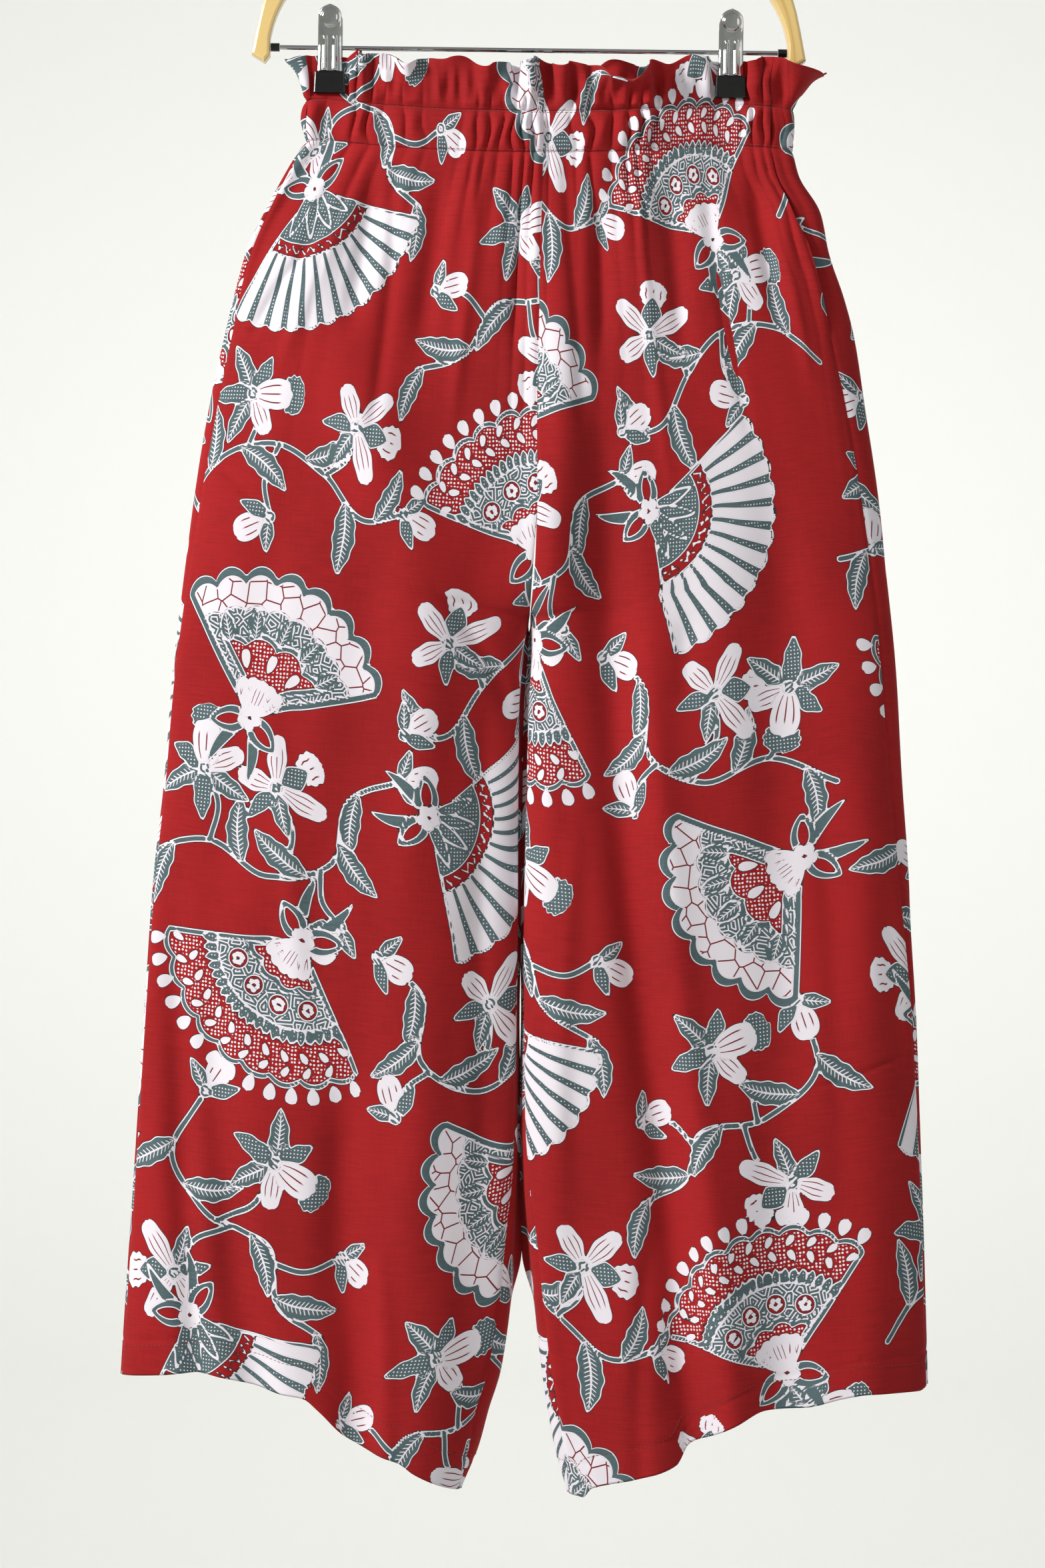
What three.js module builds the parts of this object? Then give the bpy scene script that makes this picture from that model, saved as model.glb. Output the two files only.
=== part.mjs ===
// Wide-leg lounge trousers with a gathered paper-bag waist, hung by two clips from a wooden hanger.
// Millimetres, +Z up. The origin is the point where the hook rests on its rail.
// The front of the trousers faces -Y, so the wearer's right leg lies towards -X.
import * as THREE from 'three';

// Cloth
const clothWall = 1.2;
const casingWall = 2.2;
const frillWall = 1.0;
const pocketWall = 1.6;
const seamGap = 0.3;
const pocketClearance = 1.6;

// Waist, seen from the front
const waistLeftX = -152.5;
const waistRightX = 183;
const waistTopZ = -225.5;
const waistSag = 9;
const waistEndFall = 0.1;
const casingHeight = 28.5;
const waistEndRadius = 7;
const gatherPitch = 12;
const gatherRelief = 2.2;
const frillHeight = 33;

// Legs, as fractions of the way down from the casing to the hem
const crotchStart = 0.26;
const crotchEnd = 0.345;
const waistBlendEnd = 0.13;
const sectionFullness = 0.75;

// Hanger
const hookRadius = 22;
const hookWireRadius = 2;
const ferruleHeight = 6;
const ferruleRadius = 4.2;
const woodTopZ = -62;
const woodDepth = 12;
const woodBevel = 2;
const rodZ = -190;
const rodRadius = 1.6;
const rodHalfLength = 171.7;
const capLength = 6;
const capRadius = 2.9;
const partGap = 0.3;

// Clips
const clipCentres = { right_side: -137, left_side: 139.5 };
const clipTopZ = -162;
const padTopZ = -207;
const padHeight = 15;
const padWidth = 22;
const padThickness = 4;
const padBevel = 1;
const gripHalf = 1.25;
const gripHalfWidth = 12;
const gripDrop = 2.5;
const jawWall = 1;
const jawWidth = 17;
const jawDish = 1.35;
const springRadius = 3.0;
const springLength = 9;
const springBore = 1.9;

// How far the waist tube stands open on each side of its middle, across the front
const waistOpenness = [
  { x: -152.5, half: 4.4 }, { x: -137, half: 2.9 }, { x: -120, half: 4.0 }, { x: -85, half: 9 },
  { x: -40, half: 13 }, { x: 10, half: 15 }, { x: 60, half: 13 }, { x: 105, half: 8.5 },
  { x: 128, half: 3.8 }, { x: 139.5, half: 2.9 }, { x: 152, half: 4.4 }, { x: 168, half: 8 },
  { x: 183, half: 8 },
];

// The centre-front and centre-back seam, down to the crotch
const centreSeam = [
  { down: 0, x: 10.8 }, { down: 0.1, x: 9.7 }, { down: 0.2, x: 8.6 }, { down: 0.26, x: 9.4 },
  { down: 0.3, x: 8.2 }, { down: 0.345, x: 5.6 },
];

// Outer edge of each leg, and how far the back panel shows round the side seam (strip)
const rightLegSide = [
  { down: 0, outer: -152.5, strip: 1.5 }, { down: 0.02, outer: -163.5, strip: 2 },
  { down: 0.06, outer: -182, strip: 3.5 }, { down: 0.09, outer: -194, strip: 5.5 },
  { down: 0.12, outer: -200.5, strip: 5.5 }, { down: 0.16, outer: -208, strip: 6 },
  { down: 0.2, outer: -215.5, strip: 7 }, { down: 0.28, outer: -225.5, strip: 5 },
  { down: 0.36, outer: -234, strip: 3 }, { down: 0.44, outer: -241, strip: 1.5 },
  { down: 0.52, outer: -245.5, strip: 1 }, { down: 0.6, outer: -252, strip: 1 },
  { down: 0.7, outer: -257, strip: 1 }, { down: 0.85, outer: -263.5, strip: 1 },
  { down: 1, outer: -270.5, strip: 1 },
];
const leftLegSide = [
  { down: 0, outer: 183, strip: 16 }, { down: 0.02, outer: 187.5, strip: 17 },
  { down: 0.05, outer: 202, strip: 20 }, { down: 0.08, outer: 208.5, strip: 15 },
  { down: 0.115, outer: 219, strip: 17 }, { down: 0.15, outer: 227, strip: 18 },
  { down: 0.2, outer: 234.5, strip: 15.5 }, { down: 0.28, outer: 244.3, strip: 12.5 },
  { down: 0.36, outer: 252.5, strip: 10.5 }, { down: 0.44, outer: 259, strip: 10 },
  { down: 0.52, outer: 263.5, strip: 8 }, { down: 0.6, outer: 269.5, strip: 6.5 },
  { down: 0.7, outer: 275, strip: 3 }, { down: 0.85, outer: 281.2, strip: 1 },
  { down: 1, outer: 286.5, strip: 1 },
];

// Inner edge of each leg below the crotch, and how far the back shows round the inseam
const rightLegInner = [
  { down: 0.345, inner: 5.6, strip: 0 }, { down: 0.37, inner: 2, strip: 0 },
  { down: 0.42, inner: -0.8, strip: 0 }, { down: 0.5, inner: -0.6, strip: 0 },
  { down: 0.6, inner: 0.3, strip: 0 }, { down: 0.75, inner: 1.4, strip: 2 },
  { down: 0.84, inner: -0.5, strip: 7 }, { down: 0.91, inner: -8, strip: 8 },
  { down: 0.94, inner: -16, strip: 8 }, { down: 0.97, inner: -23, strip: 6 },
  { down: 1, inner: -34, strip: 1 },
];
const leftLegInner = [
  { down: 0.345, inner: 5.6, strip: 0 }, { down: 0.37, inner: 6.8, strip: 0 },
  { down: 0.42, inner: 5, strip: 0 }, { down: 0.5, inner: 4.2, strip: 0 },
  { down: 0.6, inner: 3.6, strip: 0 }, { down: 0.72, inner: 3.9, strip: 2 },
  { down: 0.77, inner: 5.7, strip: 4 }, { down: 0.82, inner: 10.2, strip: 6 },
  { down: 0.89, inner: 17.7, strip: 6 }, { down: 0.94, inner: 24.7, strip: 7 },
  { down: 0.97, inner: 30, strip: 6 }, { down: 1, inner: 38, strip: 1 },
];

// Half the depth of the legs from front to back
const legDepth = [
  { down: 0, front: 15, back: 15 }, { down: 0.06, front: 18, back: 18 },
  { down: 0.13, front: 23, back: 24 }, { down: 0.25, front: 27, back: 32 },
  { down: 0.36, front: 27, back: 31 }, { down: 0.5, front: 25, back: 27 },
  { down: 0.7, front: 25, back: 25 }, { down: 0.88, front: 28, back: 26 },
  { down: 1, front: 32, back: 28 },
];

// Height of the front hem edge, from the outer corner (0) to the inner corner (1)
const rightHem = [
  { across: 0, z: -1105.4 }, { across: 0.12, z: -1103.2 }, { across: 0.23, z: -1101 },
  { across: 0.31, z: -1103.8 }, { across: 0.39, z: -1108 }, { across: 0.47, z: -1113.8 },
  { across: 0.54, z: -1116.5 }, { across: 0.585, z: -1125 }, { across: 0.66, z: -1142.5 },
  { across: 0.74, z: -1153 }, { across: 0.82, z: -1160 }, { across: 0.86, z: -1167 },
  { across: 0.935, z: -1176 }, { across: 1, z: -1181.6 },
];
const leftHem = [
  { across: 0, z: -1105.5 }, { across: 0.03, z: -1109 }, { across: 0.17, z: -1109.3 },
  { across: 0.24, z: -1112.3 }, { across: 0.35, z: -1119.5 }, { across: 0.46, z: -1121.5 },
  { across: 0.54, z: -1130.5 }, { across: 0.61, z: -1139.6 }, { across: 0.665, z: -1146.5 },
  { across: 0.7, z: -1160.5 }, { across: 0.79, z: -1168.8 }, { across: 0.93, z: -1177.5 },
  { across: 0.955, z: -1184.2 }, { across: 1, z: -1183 },
];
const backHemFall = 6;

// The largest folds: a line down the cloth (x at four heights), its half width and its height
const frontFolds = [
  { x: [-150, -66, -66, -58], z: [-345, -598, -770, -1180], width: 30, rise: 10 },
  { x: [-236, -231, -224, -214], z: [-780, -920, -1010, -1110], width: 11, rise: -9 },
  { x: [-216, -205, -190, -172], z: [-800, -920, -1040, -1130], width: 15, rise: -7 },
  { x: [-120, -118, -110, -104], z: [-900, -1000, -1080, -1160], width: 16, rise: -8 },
  { x: [22, 25, 17, 22], z: [-270, -450, -600, -1180], width: 17, rise: 8 },
  { x: [52, 74, 104, 126], z: [-450, -740, -980, -1170], width: 17, rise: -13 },
  { x: [78, 104, 134, 152], z: [-560, -800, -1000, -1150], width: 16, rise: 8 },
  { x: [172, 177, 181, 186], z: [-440, -600, -760, -1120], width: 24, rise: -7 },
  { x: [232, 240, 246, 250], z: [-560, -760, -940, -1115], width: 18, rise: 6 },
  { x: [-144, -163, -182, -196], z: [-256, -290, -325, -375], width: 7, rise: -4 },
  { x: [-101, -107, -113, -122], z: [-256, -300, -345, -400], width: 8, rise: -6 },
  { x: [-58, -60, -66, -74], z: [-256, -300, -345, -420], width: 9, rise: -5 },
  { x: [-6, -5, -6, -8], z: [-258, -300, -350, -420], width: 7, rise: -6 },
  { x: [50, 51, 52, 54], z: [-258, -300, -350, -430], width: 8, rise: -6 },
  { x: [96, 99, 103, 110], z: [-258, -300, -345, -420], width: 8, rise: -5 },
  { x: [155, 158, 164, 176], z: [-256, -290, -325, -390], width: 7, rise: -6 },
];
const backFolds = [
  { x: [-140, -120, -112, -108], z: [-340, -600, -800, -1180], width: 26, rise: 9 },
  { x: [-200, -206, -205, -200], z: [-500, -740, -940, -1120], width: 17, rise: -8 },
  { x: [-60, -52, -56, -66], z: [-420, -640, -860, -1170], width: 20, rise: -9 },
  { x: [70, 76, 88, 96], z: [-430, -700, -940, -1170], width: 20, rise: -9 },
  { x: [140, 150, 160, 168], z: [-400, -640, -860, -1150], width: 26, rise: 9 },
  { x: [206, 222, 232, 238], z: [-480, -720, -940, -1120], width: 16, rise: -7 },
  { x: [-112, -118, -126, -134], z: [-256, -300, -350, -420], width: 9, rise: -6 },
  { x: [-50, -50, -54, -58], z: [-258, -300, -350, -430], width: 8, rise: -6 },
  { x: [12, 12, 12, 12], z: [-258, -300, -350, -410], width: 8, rise: -5 },
  { x: [66, 68, 72, 76], z: [-258, -300, -350, -430], width: 9, rise: -6 },
  { x: [120, 127, 136, 148], z: [-256, -300, -350, -420], width: 9, rise: -6 },
];

// Frill waves: how far the cloth leans outwards at its top edge, in degrees
const frontFrill = [
  { x: -152.5, lean: 52 }, { x: -148, lean: 40 }, { x: -144, lean: 6 }, { x: -130, lean: 8 },
  { x: -116, lean: 26 }, { x: -96, lean: 12 }, { x: -82, lean: 46 }, { x: -70, lean: -8 },
  { x: -54, lean: 24 }, { x: -38, lean: 6 }, { x: -24, lean: 44 }, { x: -10, lean: -8 },
  { x: 4, lean: 34 }, { x: 16, lean: -6 }, { x: 28, lean: 42 }, { x: 40, lean: 14 },
  { x: 56, lean: 118 }, { x: 68, lean: 128 }, { x: 84, lean: 40 }, { x: 100, lean: 10 },
  { x: 120, lean: 24 }, { x: 146, lean: 6 }, { x: 154, lean: 44 }, { x: 161, lean: 0 },
  { x: 170, lean: 44 }, { x: 178, lean: 62 }, { x: 183, lean: 74 },
];
const backFrill = [
  { x: -152.5, lean: 52 }, { x: -146, lean: 34 }, { x: -128, lean: 8 }, { x: -112, lean: 34 },
  { x: -94, lean: -4 }, { x: -76, lean: 30 }, { x: -56, lean: -6 }, { x: -36, lean: 40 },
  { x: -16, lean: 0 }, { x: 4, lean: 44 }, { x: 24, lean: -6 }, { x: 44, lean: 30 },
  { x: 62, lean: -8 }, { x: 82, lean: 26 }, { x: 100, lean: -4 }, { x: 118, lean: 40 },
  { x: 150, lean: 10 }, { x: 164, lean: 50 }, { x: 176, lean: 40 }, { x: 183, lean: 74 },
];

// Width of each pocket bag inwards from its side seam
const pocketBag = [
  { down: 0.05, width: 62 }, { down: 0.12, width: 74 }, { down: 0.18, width: 72 },
  { down: 0.24, width: 52 }, { down: 0.27, width: 26 },
];

// Grid sizes
const frontColumns = 20;
const backColumns = 18;
const casingColumns = 112;
const frillColumns = 64;
const frillRows = [0, 0.3, 0.6, 0.85, 1];
const legRows = [
  0, 0.02, 0.045, 0.075, 0.11, 0.15, 0.2, 0.24, 0.27, 0.295, 0.315, 0.33, 0.345,
  0.37, 0.42, 0.5, 0.58, 0.67, 0.76, 0.84, 0.91, 0.96, 1,
];

const clamp = THREE.MathUtils.clamp;
const lerp = THREE.MathUtils.lerp;
const ease = (t) => THREE.MathUtils.smoothstep(t, 0, 1);

// A smooth curve through one column of a table, with no overshoot between its rows
function curveThrough(rows, along, value) {
  const xs = rows.map((row) => row[along]);
  const ys = rows.map((row) => row[value]);
  const last = xs.length - 1;
  const slopes = xs.slice(1).map((x, i) => (ys[i + 1] - ys[i]) / (x - xs[i]));
  const tangents = xs.map((x, i) => {
    if (i === 0) return slopes[0];
    if (i === last) return slopes[last - 1];
    const [before, after] = [slopes[i - 1], slopes[i]];
    return before * after <= 0 ? 0 : (2 * before * after) / (before + after);
  });
  return (x) => {
    const at = clamp(x, xs[0], xs[last]);
    let i = 0;
    while (i < last - 1 && at > xs[i + 1]) i += 1;
    const span = xs[i + 1] - xs[i];
    const t = (at - xs[i]) / span;
    const rise = t * t * (3 - 2 * t);
    return ys[i] + (ys[i + 1] - ys[i]) * rise
      + span * (tangents[i] * (t - 1) ** 2 * t + tangents[i + 1] * t * t * (t - 1));
  };
}

// Waist lines and openness
function waistZ(x) {
  const between = clamp(1 - (x / clipCentres.left_side) ** 2, 0, 1);
  const beyond = Math.max(0, Math.abs(x) - clipCentres.left_side);
  return waistTopZ - waistSag * between - waistEndFall * beyond;
}

const waistHalf = curveThrough(waistOpenness, 'x', 'half');

function waistDepth(x) {
  const fromEnd = clamp(Math.min(x - waistLeftX, waistRightX - x) / waistEndRadius, 0, 1);
  return waistHalf(x) * Math.sqrt(1 - (1 - fromEnd) ** 2);
}

// One point of the waist loop: around runs 0 to 1 over the front and -1 to 0 over the back
function waistPoint(around, z) {
  const share = (1 - Math.cos(Math.PI * around)) / 2;
  const x = lerp(waistLeftX, waistRightX, share);
  const side = around >= 0 && around <= 1 ? -1 : 1;
  return new THREE.Vector3(x, side * waistDepth(x), z);
}

// Where around the waist loop the front has a given x
function waistAround(x) {
  const share = (x - waistLeftX) / (waistRightX - waistLeftX);
  return Math.acos(1 - 2 * share) / Math.PI;
}

// Leg sections
function makeLeg(side, inner, hem) {
  return {
    outer: curveThrough(side, 'down', 'outer'),
    sideStrip: curveThrough(side, 'down', 'strip'),
    inner: curveThrough(inner, 'down', 'inner'),
    innerStrip: curveThrough(inner, 'down', 'strip'),
    hemZ: curveThrough(hem, 'across', 'z'),
  };
}

const rightLeg = makeLeg(rightLegSide, rightLegInner, rightHem);
const leftLeg = makeLeg(leftLegSide, leftLegInner, leftHem);
const centreX = curveThrough(centreSeam, 'down', 'x');
const frontDepth = curveThrough(legDepth, 'down', 'front');
const backDepth = curveThrough(legDepth, 'down', 'back');

function foldCurves(folds) {
  return folds.map((fold) => {
    const rows = fold.z.map((z, i) => ({ fall: -z, x: fold.x[i] }));
    return {
      ...fold, top: rows[0].fall, bottom: rows[rows.length - 1].fall,
      line: curveThrough(rows, 'fall', 'x'),
    };
  });
}

const frontFoldCurves = foldCurves(frontFolds);
const backFoldCurves = foldCurves(backFolds);

// How far the folds lift the cloth at one place; each fold fades in and out along its line
function foldLift(folds, x, z) {
  const fall = -z;
  return folds.reduce((total, fold) => {
    const length = fold.bottom - fold.top;
    const start = ease((fall - fold.top) / (0.3 * length) + 0.3);
    const end = fold.bottom > 1100 ? 1 : ease((fold.bottom - fall) / (0.35 * length));
    const away = (x - fold.line(fall)) / fold.width;
    return total + fold.rise * start * end * Math.exp(-away * away);
  }, 0);
}

// Around a leg, 0 is the outer edge, 1 the inner edge, and the back carries on below 0 or past 1
function legPoint(leg, around, down) {
  const isFront = around >= 0 && around <= 1;
  const across = around < 0 ? -around : around > 1 ? 2 - around : around;
  const share = (1 - Math.cos(Math.PI * across)) / 2;
  const topX = lerp(leg.outer(0), centreX(0), share);
  const innerX = down < crotchEnd ? centreX(down) : leg.inner(down);
  const x = lerp(leg.outer(down), innerX, share);
  const backFall = isFront ? 0 : backHemFall * Math.sin(Math.PI * across);
  const z = lerp(waistZ(topX) - casingHeight - seamGap, leg.hemZ(share) - backFall, down);

  const both = Math.sin(Math.PI * clamp(across, 0, 1)) ** sectionFullness;
  const outerOnly = across < 0.5 ? both : 1;
  const into = clamp((down - crotchStart) / (crotchEnd - crotchStart), 0, 1);
  const closing = 1 - Math.sqrt(1 - into * into);
  const profile = lerp(outerOnly, both, closing);
  const depth = isFront ? frontDepth(down) : backDepth(down);
  const lift = foldLift(isFront ? frontFoldCurves : backFoldCurves, x, z) * profile;
  const blend = ease(down / waistBlendEnd);
  const away = lerp(waistDepth(topX), depth * profile, blend) + lift * ease(down / 0.06);
  return new THREE.Vector3(x, isFront ? -away : away, z);
}

// Where around the leg a point stands a given strip in from the outer or inner edge
function aroundAtStrip(leg, down, strip) {
  const innerX = down < crotchEnd ? centreX(down) : leg.inner(down);
  const width = Math.abs(innerX - leg.outer(down));
  return Math.acos(1 - (2 * strip) / width) / Math.PI;
}

// Steps along a section until the cloth has moved by a given distance
function stepAlong(point, from, direction, distance) {
  const start = point(from);
  let [low, high] = [0, 0.08];
  for (let i = 0; i < 30; i += 1) {
    const middle = (low + high) / 2;
    if (point(from + direction * middle).distanceTo(start) < distance) low = middle;
    else high = middle;
  }
  return from + direction * high;
}

// A closed wall on a surface. Rows run down and columns run left to right as seen from outside.
function wallGeometry(point, columns, rows, thickness, relief = () => 0) {
  const outside = [];
  const inside = [];
  rows.forEach((row) => {
    columns(row).forEach((column) => {
      const step = 0.0015;
      const acrossStep = point(column + step, row).sub(point(column - step, row));
      const downStep = point(column, Math.min(row + step, rows[rows.length - 1]))
        .sub(point(column, Math.max(row - step, rows[0])));
      const orient = columns(row)[1] > columns(row)[0] ? 1 : -1;
      const normal = downStep.cross(acrossStep).multiplyScalar(orient).normalize();
      const place = point(column, row);
      outside.push(place.clone().addScaledVector(normal, relief(column, row)));
      inside.push(place.addScaledVector(normal, -thickness));
    });
  });
  const across = columns(rows[0]).length;
  const count = rows.length;
  const offset = outside.length;
  const index = [];
  const quad = (a, b, c, d) => index.push(a, b, c, a, c, d);
  for (let r = 0; r < count - 1; r += 1) {
    for (let c = 0; c < across - 1; c += 1) {
      const [a, b] = [r * across + c, r * across + c + 1];
      quad(a, a + across, b + across, b);
      quad(offset + a, offset + b, offset + b + across, offset + a + across);
    }
  }
  for (let c = 0; c < across - 1; c += 1) {
    const low = (count - 1) * across + c;
    quad(c, c + 1, offset + c + 1, offset + c);
    quad(low, offset + low, offset + low + 1, low + 1);
  }
  for (let r = 0; r < count - 1; r += 1) {
    const left = r * across;
    const right = left + across - 1;
    quad(left, offset + left, offset + left + across, left + across);
    quad(right, right + across, offset + right + across, offset + right);
  }
  const geometry = new THREE.BufferGeometry();
  const places = [...outside, ...inside].flatMap((p) => [p.x, p.y, p.z]);
  geometry.setAttribute('position', new THREE.Float32BufferAttribute(places, 3));
  geometry.setIndex(index);
  geometry.computeVertexNormals();
  return geometry;
}

// Evenly spaced values from one end to the other
function spread(from, to, steps) {
  return Array.from({ length: steps + 1 }, (unused, i) => lerp(from, to, i / steps));
}

// Materials
function finish(name, color, roughness, metalness = 0) {
  return new THREE.MeshStandardMaterial({ name, color, roughness, metalness });
}

const cloth = () => finish('printed_cotton', 0x98_25_23, 0.85);
const chrome = () => finish('chrome', 0xd8dadc, 0.12, 1);
const rubber = () => finish('black_rubber', 0x18181a, 0.5);
const wood = () => finish('varnished_wood', 0xe8cf92, 0.4);

const trousers = new THREE.Group();
trousers.name = 'lounge_pants_on_clip_hanger';

function addPiece(name, geometry, material) {
  const piece = new THREE.Mesh(geometry, material);
  piece.name = name;
  trousers.add(piece);
  return piece;
}

// Leg panels
function legPanel(name, leg, isFront, isRight) {
  const point = (around, down) => legPoint(leg, around, down);
  const columns = (down) => {
    const section = (around) => point(around, down);
    const sideSeam = aroundAtStrip(leg, down, leg.sideStrip(down));
    const innerSeam = down < crotchEnd ? 1 : 1 - aroundAtStrip(leg, down, leg.innerStrip(down));
    const half = seamGap / 2;
    const [first, last] = isFront
      ? [stepAlong(section, sideSeam, 1, half), stepAlong(section, innerSeam, -1, half)]
      : [stepAlong(section, innerSeam - 2, 1, half), stepAlong(section, sideSeam, -1, half)];
    const list = spread(first, last, isFront ? frontColumns : backColumns);
    return isRight ? list : list.reverse();
  };
  addPiece(name, wallGeometry(point, columns, legRows, clothWall), cloth());
}

// Pocket bags, laid against the inside of the front panels
function pocketPiece(name, leg, isRight) {
  const bagWidth = curveThrough(pocketBag, 'down', 'width');
  const inwards = clothWall + pocketClearance;
  const outer = (around, down) => legPoint(leg, around, down);
  const point = (around, down) => {
    const step = 0.0015;
    const acrossStep = outer(around + step, down).sub(outer(around - step, down));
    const downStep = outer(around, down + step).sub(outer(around, down - step));
    const normal = downStep.cross(acrossStep).multiplyScalar(isRight ? 1 : -1).normalize();
    return outer(around, down).addScaledVector(normal, -inwards);
  };
  const columns = (down) => {
    const seamInset = leg.sideStrip(down) + 3;
    const list = spread(
      aroundAtStrip(leg, down, seamInset),
      aroundAtStrip(leg, down, seamInset + bagWidth(down)), 8,
    );
    return isRight ? list : list.reverse();
  };
  const rows = spread(pocketBag[0].down, pocketBag[pocketBag.length - 1].down, 9);
  addPiece(name, wallGeometry(point, columns, rows, pocketWall), cloth());
}

// Casing: a double layer over elastic, puffed between its gathers on the outside only
function gatherPhase(x) {
  return (Math.PI * x) / gatherPitch + 0.9 * Math.sin(x / 31) + 0.5 * Math.sin(x / 13.7 + 1);
}

const sideSeamRight = waistAround(waistLeftX + rightLegSide[0].strip);
const sideSeamLeft = waistAround(waistRightX - leftLegSide[0].strip);

function waistSpan(isFront, steps) {
  const section = (around) => waistPoint(around, 0);
  const half = seamGap / 2;
  const [first, last] = isFront ? [sideSeamRight, sideSeamLeft] : [sideSeamLeft - 2, sideSeamRight];
  return spread(stepAlong(section, first, 1, half), stepAlong(section, last, -1, half), steps);
}

function wrapBack(around) {
  return around < -1 ? around + 2 : around;
}

function casingPiece(name, isFront) {
  const point = (around, down) => {
    const place = waistPoint(wrapBack(around), 0);
    place.z = waistZ(place.x) - seamGap / 2 - down * (casingHeight - seamGap / 2);
    return place;
  };
  const relief = (around, down) => {
    const { x } = point(around, down);
    const puff = Math.abs(Math.sin(gatherPhase(x + (isFront ? 0 : 5))));
    return gatherRelief * puff;
  };
  const span = waistSpan(isFront, casingColumns);
  addPiece(name, wallGeometry(point, () => span, [0, 1], casingWall, relief), cloth());
}

// Frill: stands up from the casing and leans outwards by its waves, pressed flat in the clips
function gripShare(x) {
  return Math.max(...Object.values(clipCentres).map((centre) => {
    const away = Math.abs(x - centre);
    return 1 - ease((away - gripHalfWidth) / 9);
  }));
}

function frillPiece(name, isFront) {
  const frontLean = curveThrough(frontFrill, 'x', 'lean');
  const backLean = curveThrough(backFrill, 'x', 'lean');
  const section = (around) => waistPoint(wrapBack(around), 0);
  const point = (around, down) => {
    const up = 1 - down;
    const base = section(around);
    const along = section(around + 0.002).sub(section(around - 0.002));
    const outward = new THREE.Vector3(along.y, -along.x, 0).normalize();
    const onFront = wrapBack(around) >= 0;
    const grip = gripShare(base.x);
    const lean = THREE.MathUtils.degToRad((onFront ? frontLean : backLean)(base.x));
    const bend = lean * (1 - grip);
    const turn = Math.abs(bend) < 0.01 ? 0.01 : bend;
    const height = frillHeight - gripDrop * grip;
    const out = (height * (1 - Math.cos(turn * up))) / turn;
    const rise = (height * Math.sin(turn * up)) / turn;
    const place = base.addScaledVector(outward, out);
    const pressed = Math.sign(place.y) * gripHalf;
    place.y = lerp(place.y, pressed, grip * lerp(0.8, 1, ease(up / 0.1)));
    place.z = waistZ(base.x) + seamGap / 2 + rise;
    return place;
  };
  const span = waistSpan(isFront, frillColumns);
  addPiece(name, wallGeometry(point, () => span, frillRows, frillWall), cloth());
}

legPanel('front_leg_right', rightLeg, true, true);
legPanel('front_leg_left', leftLeg, true, false);
legPanel('back_leg_right', rightLeg, false, true);
legPanel('back_leg_left', leftLeg, false, false);
pocketPiece('pocket_bag_right', rightLeg, true);
pocketPiece('pocket_bag_left', leftLeg, false);
casingPiece('casing_front', true);
casingPiece('casing_back', false);
frillPiece('frill_front', true);
frillPiece('frill_back', false);

// Hanger: wooden arms, rod with end caps, ferrule and hook
const armCurve = [
  { x: 0, top: -62, bottom: -86 }, { x: 30, top: -64, bottom: -87.5 }, { x: 70, top: -74, bottom: -95 },
  { x: 110, top: -90, bottom: -109 }, { x: 140, top: -106, bottom: -124.5 },
];

function hangerArms() {
  const shape = new THREE.Shape();
  shape.moveTo(0, armCurve[0].top);
  shape.splineThru(armCurve.slice(1).map((row) => new THREE.Vector2(row.x, row.top)));
  const shoulder = [[162, -122], [175, -138], [183, -158], [188, -180]];
  shape.splineThru(shoulder.map((p) => new THREE.Vector2(...p)));
  shape.lineTo(191, -195.5);
  shape.lineTo(182, -201);
  shape.lineTo(178.3, -196);
  shape.lineTo(178.3, -184);
  shape.splineThru([[175, -171], [168.5, -157], [157, -139.5]].map((p) => new THREE.Vector2(...p)));
  const underside = [...armCurve].reverse().slice(0, -1);
  shape.splineThru(underside.map((row) => new THREE.Vector2(row.x, row.bottom)));
  const half = shape.getPoints(2);
  const mirrored = half.slice().reverse().map((p) => new THREE.Vector2(-p.x, p.y));
  const outline = [...half, new THREE.Vector2(0, armCurve[0].bottom), ...mirrored];
  const unique = outline.filter((p, i) => p.distanceTo(outline[(i + 1) % outline.length]) > 0.05);
  const geometry = new THREE.ExtrudeGeometry(new THREE.Shape(unique), {
    depth: woodDepth - 2 * woodBevel, bevelEnabled: true, bevelThickness: woodBevel,
    bevelSize: woodBevel, bevelOffset: -woodBevel, bevelSegments: 2, steps: 1,
  });
  const arms = addPiece('hanger_arms', geometry, wood());
  arms.rotation.x = Math.PI / 2;
  arms.position.y = woodDepth / 2 - woodBevel;
}

// A round bar or sleeve along X
function barAlongX(name, fromX, toX, radius, bore, z, material) {
  const half = Math.abs(toX - fromX) / 2;
  const profile = bore > 0
    ? [[bore, -half], [radius, -half], [radius, half], [bore, half], [bore, -half]]
    : [[0, -half], [radius, -half], [radius, half], [0, half]];
  const geometry = new THREE.LatheGeometry(profile.map((p) => new THREE.Vector2(...p)), 14);
  const bar = addPiece(name, geometry, material);
  bar.rotation.z = -Math.PI / 2;
  bar.position.set((fromX + toX) / 2, 0, z);
  return bar;
}

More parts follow.
